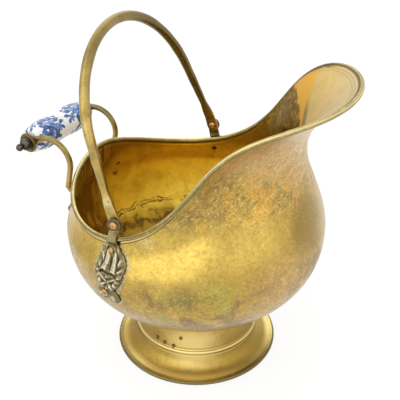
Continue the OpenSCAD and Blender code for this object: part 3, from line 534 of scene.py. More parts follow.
def cast_metal(name):
    """Reads from the piece how far each point stands proud of its neighbours, and how high."""
    material, shader, place = new_material(name, 1, 0.34)
    high, z = carried("height_up", place), axes_of(place)[2]
    grain = blotches(place, 2.4, 0.40, 0.62, 5, 0.5)
    worn = carried("proud", place) + step(high, 2, 3.2) * 0.42 + (grain - 0.5) * 0.18
    bare = step(high, 0.3, 0)
    coat(shader, paint(
        tint(grain, (16, 13, 5.5), (30, 25, 11.5)),
        (step(worn, 0.44, 0.1) * 0.92, (4.5, 4, 2.2)),
        (step(worn, 0.72, 1.4) * 0.8, (70, 64, 46)),
        (bare * step(z, 195, 191) * 0.85, (36, 29, 12.5)),
        (bare * step(z, 193, 197) * 0.5, (7.5, 7, 5.5))), grain * 0.12)
    return material


def iron(name, light, dark, roughness):
    material, shader, place = new_material(name, 1, roughness)
    rusty = blotches(place, 5, 0.42, 0.6, 6, 0.5)
    coat(shader, tint(rusty, light, dark), rusty * 0.06, Roughness=rusty * 0.2 + roughness)
    return material


rivet_finish = copper("rivet_copper", (40, 20, 7.5), (78, 46, 20))
dark_rivet_finish = copper("rivet_dark_copper", (13, 6, 3), (44, 22, 12))
lug_finish = cast_metal("cast_lug_metal")
wire_finish = iron("wire_iron", (34, 32, 29), (16, 10, 6), 0.4)
nut_finish = iron("nut_dark_bronze", (11, 10, 8), (3, 2.7, 2.2), 0.17)
more_finishes = (rivet_finish, dark_rivet_finish, lug_finish, wire_finish, nut_finish)
print("finishes:", *[finish.name for finish in more_finishes])

# %% [markdown]
# ## The painted porcelain
# The grip is white glazed porcelain with sprays of flowers brushed on in
# cobalt, a traditional pattern.  A flower and a leaf are each a small formula
# of place on the surface: how far along the grip, and how far round it.  One
# group draws a spray from them, and the finish places it several times.

# %% Build the brush strokes
GRIP_MID = (-165.0, 0.0, 224.0)
GRIP_YAW = radians(4.5)
GRIP_AXES = [(cos(GRIP_YAW), -sin(GRIP_YAW), 0), (0, 0, 1), (sin(GRIP_YAW), cos(GRIP_YAW), 0)]
GRIP_ROUND = 14.8
FLOWER_KEYS = ("At", "Up", "Radius", "Petals", "Turn")
LEAF_KEYS = ("At", "Up", "Turn", "Length", "Width", "Curl")
SOFT = 0.3


def stroke_group(name, keys, outputs):
    """A group that is told where on the grip it is drawn, and how far a place is from there."""
    tree, given = new_group(name, dict.fromkeys(("Along", "Round", *keys), 0), outputs)
    return tree, given, given["Along"] - given["At"], given["Round"] - given["Up"]


leaf, given, far, side = stroke_group("brushed_leaf", LEAF_KEYS, ["Mask"])
cosine, sine = calc("COSINE", given["Turn"]), calc("SINE", given["Turn"])
share = (far * cosine + side * sine) / given["Length"]
square = share * share
bowed = side * cosine - far * sine - given["Curl"] * square
hand_out(leaf, Mask=step(given["Width"] * (1 - square) - abs(bowed), 0, SOFT))

bloom, given, far, side = stroke_group("brushed_bloom", FLOWER_KEYS, ["Petal", "Line"])
reach = calc("SQRT", far * far + side * side)
angle = calc("ARCTAN2", side, far) + given["Turn"]
lobes = abs(calc("COSINE", angle * given["Petals"] * 0.5))
inside_by = given["Radius"] * (lobes * 0.5 + 0.5) - reach
petal = step(inside_by, 0, SOFT)
veins = step(calc("COSINE", angle * given["Petals"] * 3), 0.55, 0.9) * petal * step(reach, 1, 1.8)
outline, eye = petal * step(inside_by, 0.9, 0.45), step(reach, 1.3, 0.9)
hand_out(bloom, Petal=petal, Line=most(outline, veins * 0.7, eye))
print("strokes:", leaf.name, bloom.name)

# %% Build one spray of flowers
BLOOMS = [(0, 0, 7, 6, 0.4), (8.8, 6, 5, 5, 0.9), (-8.8, -6.6, 4.6, 5, 0.2)]
LEAVES = [
    (-8.6, 0.2, 0.2, 5, 3.3, 0.9), (-6, 6.8, -0.7, 4.7, 3.2, -0.9), (-3, -8.8, 0.5, 4.9, 3.2, 0.9),
    (4.8, -7.4, -1, 4.9, 3.2, -0.8), (9.2, -2.8, -0.35, 5, 3, 0.9), (1.4, 9.2, 1.35, 4.1, 2.8, 0.7),
    (14, 1.8, -0.2, 4.1, 2.3, 0.8), (-13.8, 2.8, -0.5, 3.8, 2.2, 0.7), (-12.6, -3.4, 0.9, 3.4, 2, -0.5),
    (11.6, -8, 0.4, 3.4, 2.2, 0.6), (13.4, 8.6, 0.9, 3.1, 1.9, 0.4)]
STEMS = [
    (-4, 1.2, -0.15, 10.5, 0.6, 1.6), (3.6, 2.6, 0.6, 9, 0.55, -1.4), (1, -5.5, -0.9, 7.5, 0.5, 1.2)]
spray, given = new_group("flower_spray", {"Along": 0, "Round": 0}, ["Wash", "Line"])
on_grip = {"Along": given["Along"], "Round": given["Round"]}
flowers = [use(bloom, **on_grip, **dict(zip(FLOWER_KEYS, row))) for row in BLOOMS]
strokes = [use(leaf, **on_grip, **dict(zip(LEAF_KEYS, row)))["Mask"] for row in LEAVES + STEMS]
hand_out(spray, Wash=most(*[flower["Petal"] for flower in flowers]),
         Line=most(*[flower["Line"] for flower in flowers], *strokes))
print("spray:", len(BLOOMS), "flowers,", len(LEAVES), "leaves,", len(STEMS), "stems")

# %% Finish of the porcelain
# middle along the grip in millimetres, place round it in degrees from the top
# towards the front, and which way the spray runs; each comes SPRAYS_ROUND times
SPRAYS_ROUND = 3
PLACES = [(-19, 36, 1), (20, 30, -1), (-27, 88, -1), (31, 92, 1)]


def glazed_porcelain(name):
    material, shader, place = new_material(name, 0, 0.08)
    local = vector("SUBTRACT", place, GRIP_MID)
    front, up, along = (vector("DOT_PRODUCT", local, way, "Value") for way in GRIP_AXES)
    angle = calc("ARCTAN2", front, up)
    wobble = (noise(place, 0.35, 3) - 0.5) * 2.4
    half_repeat = pi / SPRAYS_ROUND
    sprays = [
        use(spray, Along=(along - middle) * flip + wobble,
            Round=calc("WRAP", angle - radians(at), half_repeat, -half_repeat) * GRIP_ROUND + wobble)
        for middle, at, flip in PLACES]
    stroke = tint(blotches(place, 2.6, 0.36, 0.66, 3, 0.5), (0, 1.5, 14), (1, 12, 46))
    colour = paint(
        tint(most(*[s["Wash"] for s in sprays]) * 0.85, (97, 97.5, 98), (9, 27, 62)),
        (most(*[s["Line"] for s in sprays]) * 0.95, stroke),
        (step(abs(abs(along) - 2.5), 0.5, 0.1) * 0.35, (62, 56, 50)))
    feed(shader, {"Base Color": colour, "Coat Weight": 0.3, "Coat Roughness": 0.03})
    return material


glaze_finish = glazed_porcelain("painted_porcelain")
print("finish:", glaze_finish.name, len(glaze_finish.node_tree.nodes), "nodes")

# %% [markdown]
# ## The studio
# The photograph has a white ground with a very faint shadow.  A wide white
# floor and a white world give that.  Three large soft lamps light the brass:
# the key stands above the camera's left, a fill stands to its right, and a
# third is high behind for the rim.

# %% Build the floor, the world and the lamps
WORLD_LIGHT, FLOOR_LIGHT = 0.7, 0.84
WHITE = (100, 100, 100)


def plainly_seen(tree):
    """1 for a ray from the camera, straight or by way of something glossy or clear."""
    rays = add("LightPath", {}, tree)
    return most(*[rays[f"Is {kind} Ray"] for kind in ("Camera", "Glossy", "Transmission")])


def soft_lamp(name, place, size, power):
    lamp = bpy.data.lights.new(name, "AREA")
    lamp.size, lamp.energy = size, power
    holder = bpy.data.objects.new(name, lamp)
    holder.location = place
    holder.rotation_euler = (Vector((0, 0, 0.17)) - Vector(place)).to_track_quat("-Z", "Y").to_euler()
    scene.collection.objects.link(holder)
    print(name, "at", place, power, "W")


scene.view_settings.view_transform = "Standard"
bpy.ops.object.select_all(action="DESELECT")
bpy.ops.mesh.primitive_plane_add(size=8.0, location=(0.0, 0.0, -0.0006))
floor = bpy.context.object
floor.name = "studio_floor"
bpy.ops.object.transform_apply(location=True)
floor_paint = bpy.data.materials.new("studio_white")
floor_paint.use_nodes = True
seen = plainly_seen(floor_paint.node_tree)
feed(floor_paint.node_tree.nodes["Principled BSDF"], {
    "Base Color": tint(seen, (93, 93, 93), (20, 20, 20)), "Emission Color": WHITE,
    "Emission Strength": seen * FLOOR_LIGHT, "Roughness": 0.9, "Specular IOR Level": 0})
floor.data.materials.append(floor_paint)

world = bpy.data.worlds.new("studio")
scene.world = world
world.use_nodes = True
feed(world.node_tree.nodes["Background"], {
    "Color": WHITE, "Strength": plainly_seen(world.node_tree) * (1 - WORLD_LIGHT) + WORLD_LIGHT})
soft_lamp("key", (-0.4, -1.4, 1.5), 3.0, 20)
soft_lamp("fill", (1.6, -0.3, 1.0), 2.4, 6)
soft_lamp("back", (-0.9, 1.2, 1.6), 2.4, 12)

# %% [markdown]
# ## Laying a sheet over a formula
# A spun and hammered sheet is smooth in every direction, so it needs many
# small faces.  A grid is added as a flat primitive and its points are moved,
# row by row, onto the shape.  Where the first and last rows or columns meet,
# their doubles are merged, so the shell is closed.


# %% Helpers for modelling
def nothing_selected():
    if bpy.context.object and bpy.context.object.mode != "OBJECT":
        bpy.ops.object.mode_set(mode="OBJECT")
    bpy.ops.object.select_all(action="DESELECT")


def only(piece):
    nothing_selected()
    piece.select_set(True)
    bpy.context.view_layer.objects.active = piece


def merge_doubles(gap, square_up=False):
    """Merges doubles of the active piece, and can turn its faces outward."""
    bpy.ops.object.mode_set(mode="EDIT")
    bpy.ops.mesh.select_all(action="SELECT")
    bpy.ops.mesh.remove_doubles(threshold=gap * MM)
    if square_up:
        bpy.ops.mesh.normals_make_consistent(inside=False)
    bpy.ops.object.mode_set(mode="OBJECT")


def places_of(piece):
    """The piece's points, in millimetres."""
    co = np.empty(len(piece.data.vertices) * 3)
    piece.data.vertices.foreach_get("co", co)
    return co.reshape(-1, 3) / MM


def put_places(piece, places):
    piece.data.vertices.foreach_set("co", (places * MM).reshape(-1))


def mark(piece, **marks):
    """Gives each point of the piece its values, for its finish to read."""
    for name, values in marks.items():
        made = piece.data.attributes.new(name, "FLOAT", "POINT")
        made.data.foreach_set("value", values.reshape(-1).astype(np.float32))


def grid_piece(name, places, **marks):
    """A closed shell from rows and columns of places, with values for each place, row or piece."""
    rows, columns = places.shape[:2]
    nothing_selected()
    bpy.ops.mesh.primitive_grid_add(x_subdivisions=columns - 1, y_subdivisions=rows - 1, size=1.0)
    piece = bpy.context.object
    piece.name = piece.data.name = name
    piece.location = (0, 0, 0)
    put_places(piece, places)
    for key, values in marks.items():
        values = values[:, None] if np.ndim(values) == 1 else values
        mark(piece, **{key: np.broadcast_to(values, (rows, columns))})
    merge_doubles(0.004, square_up=True)
    return piece


def dress(piece, body, slot, material, nodes, angle=50.0):
    """Smooths a piece, finishes it, hides the nodes it stands for, and attaches it to the body it rides
    on.
    """
    only(piece)
    bpy.ops.object.shade_smooth_by_angle(angle=radians(angle))
    while piece.data.uv_layers:
        piece.data.uv_layers.remove(piece.data.uv_layers[0])
    piece.data.materials.clear()
    piece.data.materials.append(material)
    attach(piece, body)
    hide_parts(*nodes)
    print(f"{piece.name}: {len(piece.data.polygons)} faces, rides on {body}")
    return piece


def apply_modifier(piece, kind, **settings):
    only(piece)
    modifier = piece.modifiers.new(kind.lower(), kind)
    for name, value in settings.items():
        setattr(modifier, name, value)
    bpy.ops.object.modifier_apply(modifier=modifier.name)


# %% Helpers for lines and sections
def stack(*parts):
    return np.stack(np.broadcast_arrays(*parts), -1)


def polar(radius, azimuth, height):
    return stack(radius * cos(azimuth), radius * sin(azimuth), height)


def unit(vectors):
    return vectors / np.linalg.norm(vectors, axis=-1, keepdims=True)


def smooth(value, low, high):
    share = np.clip((value - low) / (high - low), 0, 1)
    return share * share * (3 - 2 * share)


def bezier(points, t):
    t = np.asarray(t)[..., None]
    return sum(k * (1 - t) ** (3 - n) * t ** n * np.asarray(p, float)
               for n, (k, p) in enumerate(zip((1, 3, 3, 1), points)))


def arc(middle, radius, degrees):
    """Places on a circle in a section, or on an oval where the radius is a pair."""
    angle = radians(degrees)
    return np.asarray(middle) + np.asarray(radius) * stack(cos(angle), sin(angle))


def course(rows):
    """The way from the row before each row to the row after it."""
    return concatenate([rows[1:], rows[-1:]]) - concatenate([rows[:1], rows[:-1]])


# %% [markdown]
# ## The body's form
# The rim is one closed line through seven places of one half and their mirror
# images: a cosine series for X and Z, and a sine series for Y.  From the
# belly, each upright section is one curve up to the rim, and it leans out
# most at the lip.

# %% Work out the rim line
RIM = np.array([
    (153.5, 0, 313), (117.5, 86, 307.5), (65, 108.5, 272.5), (18.5, 116.5, 213),
    (-55, 109, 182.5), (-108.5, 58, 195.5), (-117.5, 0, 209)], float)
RIM_LOW, RIM_RISE = 182.5, 130.5
BELLY_R, BELLY_DROP, BELLY_ROUND = 133.0, 96.0, 0.9
SEAT_R, SEAT_H, SEAM_DROP = 68.5, 66.0, 39.5
LEAN_LOW, LEAN_HIGH = -11, 52
TOP_PULL, LOW_RISE = 0.66, 0.36
SHEET, SEAM_STEP = 1.0, 1.121
ROLL_IN, ROLL_OUT, ROLL_TURN, ROLL_STEPS = 1.4, 2.3, 297.3, 19


def radius_turn(radius):
    """How far round the belly's curve, down from the widest place, a radius is reached."""
    return np.arccos((radius / BELLY_R) ** (1 / BELLY_ROUND))


BELLY_H = SEAT_H + BELLY_DROP * sin(radius_turn(SEAT_R)) ** BELLY_ROUND
SEAM_TURN = np.arcsin((SEAM_DROP / BELLY_DROP) ** (1 / BELLY_ROUND))


def belly_place(turn):
    return stack(BELLY_R * cos(turn) ** BELLY_ROUND, BELLY_H - BELLY_DROP * sin(turn) ** BELLY_ROUND)


orders = np.arange(7)
ends = np.where((orders == 0) | (orders == 6), 0.5, 1.0)
cosines, sines = (wave(pi * np.outer(orders, orders) / 6) for wave in (cos, sin))
x_terms, z_terms = (ends * (cosines @ (ends * RIM[:, axis])) / 3 for axis in (0, 2))
y_terms = (sines @ RIM[:, 1]) / 3


def rim(t):
    angle = np.outer(t, orders)
    return stack(cos(angle) @ x_terms, sin(angle) @ y_terms, cos(angle) @ z_terms)


def rim_frame(t):
    """The rim's middle line, its ways out and up, and the slope of the wall under it."""
    angle = np.outer(t, orders)
    middle = rim(t)
    down, on = -sin(angle) * orders, cos(angle) * orders
    way = unit(stack(down @ x_terms, on @ y_terms, down @ z_terms))
    climb = np.clip((middle[:, 2] - RIM_LOW) / RIM_RISE, 0, 1) ** 0.95
    slope = radians(LEAN_LOW * (1 - climb) + LEAN_HIGH * climb)
    out = unit(np.cross(way, polar(sin(slope), arctan2(middle[:, 1], middle[:, 0]), cos(slope))))
    return middle, out, np.cross(out, way), slope


print("rim from", rim([0.0])[0].round(1), "to", rim([pi])[0].round(1))


# %% Lay out the sections of the upper body
def wall_sections(t, low_rows, rise_shares):
    """Outer face of each section, from the seam to the rim, as rows of places."""
    middle, out, up, slope = rim_frame(t)
    top = middle - ROLL_IN * out
    top_rz = stack(hypot(top[:, 0], top[:, 1]), top[:, 2])
    low_rz = np.array([BELLY_R, BELLY_H])
    run = np.linalg.norm(top_rz - low_rz, axis=1)
    pull = top_rz - TOP_PULL * run[:, None] * stack(sin(slope), cos(slope))
    rise = stack(BELLY_R, BELLY_H + LOW_RISE * (top_rz[:, 1] - BELLY_H))
    low_turns = linspace(SEAM_TURN, 0, low_rows, endpoint=False)
    low = [np.tile(belly_place(turn), (len(t), 1)) for turn in low_turns]
    rz = np.stack(low + [bezier([low_rz, rise, pull, top_rz], share) for share in rise_shares])
    return polar(rz[..., 0], arctan2(top[:, 1], top[:, 0]), rz[..., 1]), middle, out, up


def rows_out(rows, out):
    """Outward way of each row: square to the section, turning to the rim's own."""
    along = course(stack(hypot(rows[..., 0], rows[..., 1]), rows[..., 2]))
    square = unit(polar(along[..., 1], arctan2(rows[..., 1], rows[..., 0]), -along[..., 0]))
    share = (linspace(0, 1, len(rows)) ** 3)[:, None, None]
    return unit(square * (1 - share) + out * share)


around = linspace(0, 2 * pi, 193)
shares = concatenate([linspace(0, 0.9, 22, endpoint=False), linspace(0.9, 1.0, 13)])
outer, middle, out, up = wall_sections(around, 8, shares)
outward = rows_out(outer, out)
print("sections:", outer.shape[1] - 1, "round, with", outer.shape[0], "rows up the wall")

# %% [markdown]
# A maker runs a shallow groove into the sheet just under the wired edge, which
# stiffens it.  It is pressed into both faces here, before the rows are joined
# into one closed shell.

# %% Model the upper body
GROOVE_DEEP, GROOVE_DOWN, GROOVE_WIDE = 0.4, 5.6, 1.1
steps = np.linalg.norm(np.diff(outer, axis=0), axis=-1)
from_top = concatenate([np.cumsum(steps[::-1], axis=0)[::-1], np.zeros((1, outer.shape[1]))])
groove = GROOVE_DEEP * exp(-((from_top - GROOVE_DOWN) / GROOVE_WIDE) ** 2)
wobble = 0.25 * sin(5 * arctan2(outer[..., 1], outer[..., 0]) + outer[..., 2] / 9)
wobble *= smooth(from_top, 8, 40) * smooth(outer[..., 2], BELLY_H + 8, BELLY_H + 40)
face = outer - (groove + np.abs(wobble))[..., None] * outward
inner = face - SHEET * outward
seam_in = belly_place(SEAM_TURN)[0] - SEAM_STEP
inner[0] = outer[0]
inner[0, :, :2] *= seam_in / np.linalg.norm(outer[0, :, :2], axis=-1, keepdims=True)


def rolled(radius, turns):
    turns = radians(turns)[:, None, None]
    return middle + radius * (-cos(turns) * out + sin(turns) * up)


roll_turns = linspace(0, ROLL_TURN, ROLL_STEPS)
shell = concatenate([face[:-1], rolled(ROLL_IN, roll_turns), rolled(ROLL_OUT, roll_turns[::-1]),
                     inner[-2::-1], face[:1]])
wall_rows = len(face) - 1
outside_rows = np.zeros(wall_rows + ROLL_STEPS)
facing_in = concatenate([outside_rows, smooth(roll_turns[::-1], 60, 20), np.ones(wall_rows), [0]])
roll_turn = concatenate([outside_rows, roll_turns[::-1], np.zeros(wall_rows + 1)])


# %% Find how near each place is to the castings, and add the piece
def surface_of(piece_or_node):
    mesh = piece_or_node.data
    return BVHTree.FromPolygons(
        [v.co.copy() for v in mesh.vertices], [tuple(p.vertices) for p in mesh.polygons])


FAR, REACH = 60.0, 0.02
castings = [surface_of(nodes[f"lion_lug_{name}"]) for name in ("left", "right")]
flat = (shell * MM).reshape(-1, 3)
near = np.full(len(flat), FAR)
for index in np.nonzero((np.abs(flat[:, 1]) > 0.09) & (flat[:, 0] < 0.02) & (flat[:, 0] > -0.085))[0]:
    for casting in castings:
        found = casting.find_nearest(Vector(flat[index]), REACH)
        if found[0] is not None:
            near[index] = min(near[index], found[3] / MM)
wall_piece = dress(
    grid_piece("spun_upper_body", shell, facing_in=facing_in, from_lug=near.reshape(shell.shape[:2]),
               from_wire=np.linalg.norm(shell - middle, axis=-1), roll_turn=roll_turn),
    "scuttle", "body_brass", sheet_finish, ["upper_body"])

# %% [markdown]
# ## Turned and spun pieces
# The bowl, the foot, the grip, the washers and the nuts are round about one
# axis.  Each is drawn as half a section in radius and height, and the same
# grid is laid round it.


# %% Helper for round pieces
def turned(section, steps):
    """Spins a section, given as (radius, height) pairs, once round."""
    section = np.asarray(section, float)
    section = concatenate([section, section[:1]])
    shell = polar(section[:, :1], linspace(0, 2 * pi, steps + 1), section[:, 1:])
    shell[:, -1] = shell[:, 0]
    return shell


# %% Model the bowl
FLOOR_R = 20.0
turns = linspace(SEAM_TURN, radius_turn(40.0), 40)
bowl_out = belly_place(turns)
square = unit(stack(BELLY_DROP * cos(turns) * sin(turns) ** (BELLY_ROUND - 1),
                    -BELLY_R * sin(turns) * cos(turns) ** (BELLY_ROUND - 1)))
bowl_in = bowl_out - SHEET * square
bowl_in[0] = (seam_in, BELLY_H - SEAM_DROP)
floor_h = bowl_out[-1, 1]
bowl_in[-1, 1] = floor_h + SHEET
out_rows = concatenate([bowl_out, [[FLOOR_R, floor_h], [0, floor_h]]])
in_rows = concatenate([[[0, floor_h + SHEET], [FLOOR_R, floor_h + SHEET]], bowl_in[::-1]])
facing_in = concatenate([np.zeros(len(out_rows)), np.ones(len(in_rows)), [0]])
dress(grid_piece("spun_bowl", turned(concatenate([out_rows, in_rows]), 144),
                 facing_in=facing_in, from_wire=FAR, from_lug=FAR),
      "scuttle", "body_brass", sheet_finish, ["bowl"])

# %% [markdown]
# ## The foot
# The foot is spun from one sheet: a flange under the bowl, a waist, a raised
# ring and a long flare, rolled over a wire at the floor, where it is worn flat.

# %% Model the foot
FOOT_R, FOOT_ROLL = 88.0, 1.2
RING_R, RING_H, RING_OUT = 64.5, 24.5, 2.2
foot_edge = FOOT_ROLL + SHEET
wire_mid = (FOOT_R - foot_edge, foot_edge - 0.25)
under = [belly_place(radius_turn(r)) for r in (SEAT_R, SEAT_R - 5)]
tip = under[0] + [0.4, -1.05]
waist = np.array([63.5, 41.0])
above_ring, below_ring = (RING_R - 0.4, RING_H + RING_OUT), (RING_R + 0.2, RING_H - RING_OUT)
edge = arc(wire_mid, foot_edge, 115)
foot_line = concatenate([
    bezier([tip, tip + [-3.4, -2.4], waist + [0, 9], waist], linspace(0, 1, 14, endpoint=False)),
    bezier([waist, waist - [0, 4], np.add(above_ring, [-0.6, 4]), above_ring],
           linspace(0, 1, 10, endpoint=False)),
    arc((RING_R, RING_H), RING_OUT, linspace(80, -80, 13)),
    bezier([below_ring, np.add(below_ring, [0.8, -11]), edge + [-13, 2.2], edge + [-1.4, -0.9]],
           linspace(0, 1, 22)),
    [edge]])
way = unit(course(foot_line))
foot_back = foot_line + SHEET * stack(way[:, 1], -way[:, 0])
curl = linspace(115, 115 - 285, 25)
section = concatenate([
    [under[0]], foot_line, arc(wire_mid, foot_edge, curl[1:]), arc(wire_mid, FOOT_ROLL, curl[::-1]),
    foot_back[-3:1:-1], [under[1]]])
section[:, 1] = np.maximum(section[:, 1], 0)
dress(grid_piece("spun_foot", turned(section, 144)), "scuttle", "body_brass", foot_finish, ["foot"])

# %% [markdown]
# ## The porcelain grip and its brass and bronze fittings
# These sit on one spindle that stands a little askew.  The grip swells towards
# each end and carries three fine rings in the middle.


# %% Place things along the spindle
def on_spindle(shell):
    """Turns a shell drawn about Z to the spindle's line."""
    return GRIP_MID + shell @ np.array(GRIP_AXES)


# %% Model the grip
GRIP_HALF, GRIP_EDGE, BORE_R = 42.55, 1.2, 2.56
WAIST_R, SWELL_R, TIP_R, FINE_RING = 14.4, 15.5, 12.0, 0.4
places = concatenate([linspace(0, 5, 21), linspace(5, GRIP_HALF - GRIP_EDGE, 40)[1:]])
swell = GRIP_HALF * 0.5
ease = smooth(places / swell, 0, 1)
taper = cos(0.5 * pi * np.clip((places - swell) / (GRIP_HALF - swell), 0, 1)) ** 0.8
radius = np.where(places < swell, WAIST_R * (1 - ease) + SWELL_R * ease,
                  TIP_R + (SWELL_R - TIP_R) * taper)
radius -= np.where(places < 5, FINE_RING * (1 - cos(pi * places / 2) ** 2), 0)
end_rows = arc((radius[-1] - GRIP_EDGE, GRIP_HALF - GRIP_EDGE), GRIP_EDGE, linspace(0, 90, 7)[1:])
half = concatenate([stack(radius, places), end_rows])
section = concatenate([half[:0:-1] * [1, -1], half, [[BORE_R, GRIP_HALF], [BORE_R, -GRIP_HALF]]])
dress(grid_piece("porcelain_hand_grip", on_spindle(turned(section, 96))),
      "grip", "porcelain", glaze_finish, ["porcelain_grip"])

# %% Model the cup washers and the end nuts
WASHER_Y, NUT_Y, HOLE_R = 46.2, 48.4, 2.6
BALL_R = 3.8
BALL_H = 7 + BALL_R * 0.85 + 1.2
washer_section = np.array([
    (HOLE_R, 0), (9.8, 0), (10.25, 0.15), (10.4, 0.5), (10.4, 0.9), (10.2, 1.3), (9.7, 1.5),
    (9.2, 1.38), (8.6, 1.2), (8.3, 1.5), (8.2, 2), (8, 2.2), (HOLE_R, 2.2)]) + [0, WASHER_Y]
nut_section = concatenate([
    [(HOLE_R, 0), (6.9, 0), (7.3, 0.2), (7.4, 0.5), (7.4, 1.5), (7.2, 1.8), (6.5, 1.9), (6.3, 2.2),
     (6.45, 2.6)],
    arc((2.4, 2.6), (4.1, 4.4), linspace(0, 74, 9)), [(2.75, 7.3)],
    arc((0, BALL_H), BALL_R, linspace(-44, 90, 13)), [(0, 6), (HOLE_R, 6)]]) + [0, NUT_Y]
for side, name in ((1, "left"), (-1, "right")):
    for piece_name, section, slot, finish, node, angle in (
            ("cupped_washer", washer_section, "washer_brass", washer_finish, "cup_washer", 38),
            ("turned_nut", nut_section, "dark_nut", nut_finish, "end_nut", 45)):
        piece = grid_piece(f"{piece_name}_{name}", on_spindle(turned(section * [1, side], 72)))
        dress(piece, "scuttle", slot, finish, [f"{node}_{name}"], angle)

# %% [markdown]
# ## The bail
# The bail is one forged rod.  Its round section thins to a flat plate with a
# round end at each pivot.  Rings of places are laid along its line, and each
# ring changes from a circle to a flat plate with soft edges.

# %% Work out the line of the bail
END_MID, END_BEND, END_R, END_T = 110.69, 12.0, 6.6, 2.2
CROWN_R, BAIL_H, ROD_R = 101.0, 158.0, 5.1
LEG_ANGLE = 10.1744
crown_mid = (0, BAIL_H - CROWN_R)
leg_top = arc(crown_mid, CROWN_R, LEG_ANGLE)
flat_h = concatenate([arc(0, END_R, linspace(-90, 0, 13))[:, 1], linspace(0, END_BEND, 9)[1:-1]])
shares = linspace(0, 1, 30, endpoint=False)
turns = linspace(LEG_ANGLE, 90, 34)
line = concatenate([
    stack(END_MID, flat_h), np.outer(1 - shares, [END_MID, END_BEND]) + np.outer(shares, leg_top),
    arc(crown_mid, CROWN_R, turns)])
ways = radians(90 + concatenate([0 * flat_h, LEG_ANGLE * smooth(shares, -0.12, 0.12), turns]))


def eased(stations, value):
    result = np.full_like(value, stations[0][1])
    for (x0, y0), (x1, y1) in zip(stations[:-1], stations[1:]):
        share = smooth(value, x0, x1)
        result = np.where(value >= x0, y0 * (1 - share) + y1 * share, result)
    return result


heights = line[:, 1]
wide = eased([(0, END_R), (10, 5.7), (30, 4.2), (95, ROD_R), (BAIL_H, ROD_R)], heights)
wide = np.where(heights < 0, np.sqrt(np.maximum(END_R ** 2 - heights ** 2, 0)), wide)
thick = eased([(0, END_T / 2), (9, END_T / 2), (32, 3.95), (95, ROD_R), (BAIL_H, ROD_R)], heights)
flatness = eased([(0, 7), (8, 7), (30, 2), (BAIL_H, 2)], heights)
uneven = (0.16 * sin(heights / 7) + 0.1 * sin(heights / 3.1 + 1) - 0.26) * smooth(heights, 14, 30)
wide, thick = wide + uneven, thick + 0.5 * uneven
print("bail line:", len(line), "rings to the top")

# %% Model the bail
PIVOT_MID = np.array([-30.0, 0.0, 202.73])
LEAN, YAW, TILT_BAIL = radians(1.42585), radians(1.03514), radians(-19.8)
RING_STEPS, DRILL_R = 33, 2.46


def turn_about(axis, angle):
    """A turn about X, Y or Z, which are 0, 1 and 2."""
    first, second = (axis + 1) % 3, (axis + 2) % 3
    turn = np.eye(3)
    turn[[first, second], [first, second]] = cos(angle)
    turn[second, first], turn[first, second] = sin(angle), -sin(angle)
    return turn


bail_turn = turn_about(2, YAW) @ turn_about(0, LEAN) @ turn_about(1, TILT_BAIL)
ways = concatenate([ways, 2 * pi - ways[-2::-1]])[:, None]
wide, thick, power = (concatenate([v, v[-2::-1]])[:, None] for v in (wide, thick, flatness))
line = concatenate([line, line[-2::-1] * [-1, 1]])
cosine, sine = (wave(linspace(0, 2 * pi, RING_STEPS)) for wave in (cos, sin))
off = thick * np.sign(cosine) * np.abs(cosine) ** (2 / power)
rings = stack(wide * np.sign(sine) * np.abs(sine) ** (2 / power),
              line[:, :1] + off * sin(ways), line[:, 1:] - off * cos(ways))
first_mid, last_mid = (rings[end].mean(axis=0) * np.ones((1, RING_STEPS, 1)) for end in (0, -1))
rings = concatenate([first_mid, rings, last_mid])
rings[:, -1] = rings[:, 0]
bail_piece = grid_piece("forged_bail", rings @ bail_turn.T + PIVOT_MID)
for side in (1, -1):
    nothing_selected()
    bpy.ops.mesh.primitive_cylinder_add(vertices=48, radius=DRILL_R * MM, depth=8 * MM)
    drill = bpy.context.object
    drill.matrix_world = Vector(bail_turn[:, 1]).to_track_quat("Z", "Y").to_matrix().to_4x4()
    drill.location = Vector((bail_turn[:, 1] * side * END_MID + PIVOT_MID) * MM)
    apply_modifier(bail_piece, "BOOLEAN", operation="DIFFERENCE", object=drill, solver="EXACT")
    bpy.data.objects.remove(drill)
dress(bail_piece, "bail", "bail_brass", rod_finish, ["bail"], 45)

# %% [markdown]
# ## Pieces that keep the solids' form
# The rods of the back handle, the rivets, the spindle and the castings start
# as copies of the solids.  A copy is merged first, because the solids arrive
# as loose triangles.


# %% Helper for copies
def copy_of(node, name, grain=None, softness=0):
    """A merged copy of a node, which can be remeshed at a grain in millimetres and softened."""
    nothing_selected()
    piece = nodes[node].copy()
    piece.data = nodes[node].data.copy()
    piece.name = piece.data.name = name
    for key in list(piece.keys()):
        del piece[key]
    scene.collection.objects.link(piece)
    placed = piece.matrix_world.copy()
    piece.parent = None
    piece.matrix_world = placed
    only(piece)
    bpy.ops.object.transform_apply(location=True, rotation=True, scale=True)
    merge_doubles(0.002)
    if grain:
        apply_modifier(piece, "REMESH", mode="VOXEL", voxel_size=grain * MM, use_smooth_shade=True)
        apply_modifier(piece, "SMOOTH", factor=0.5, iterations=softness)
    return piece


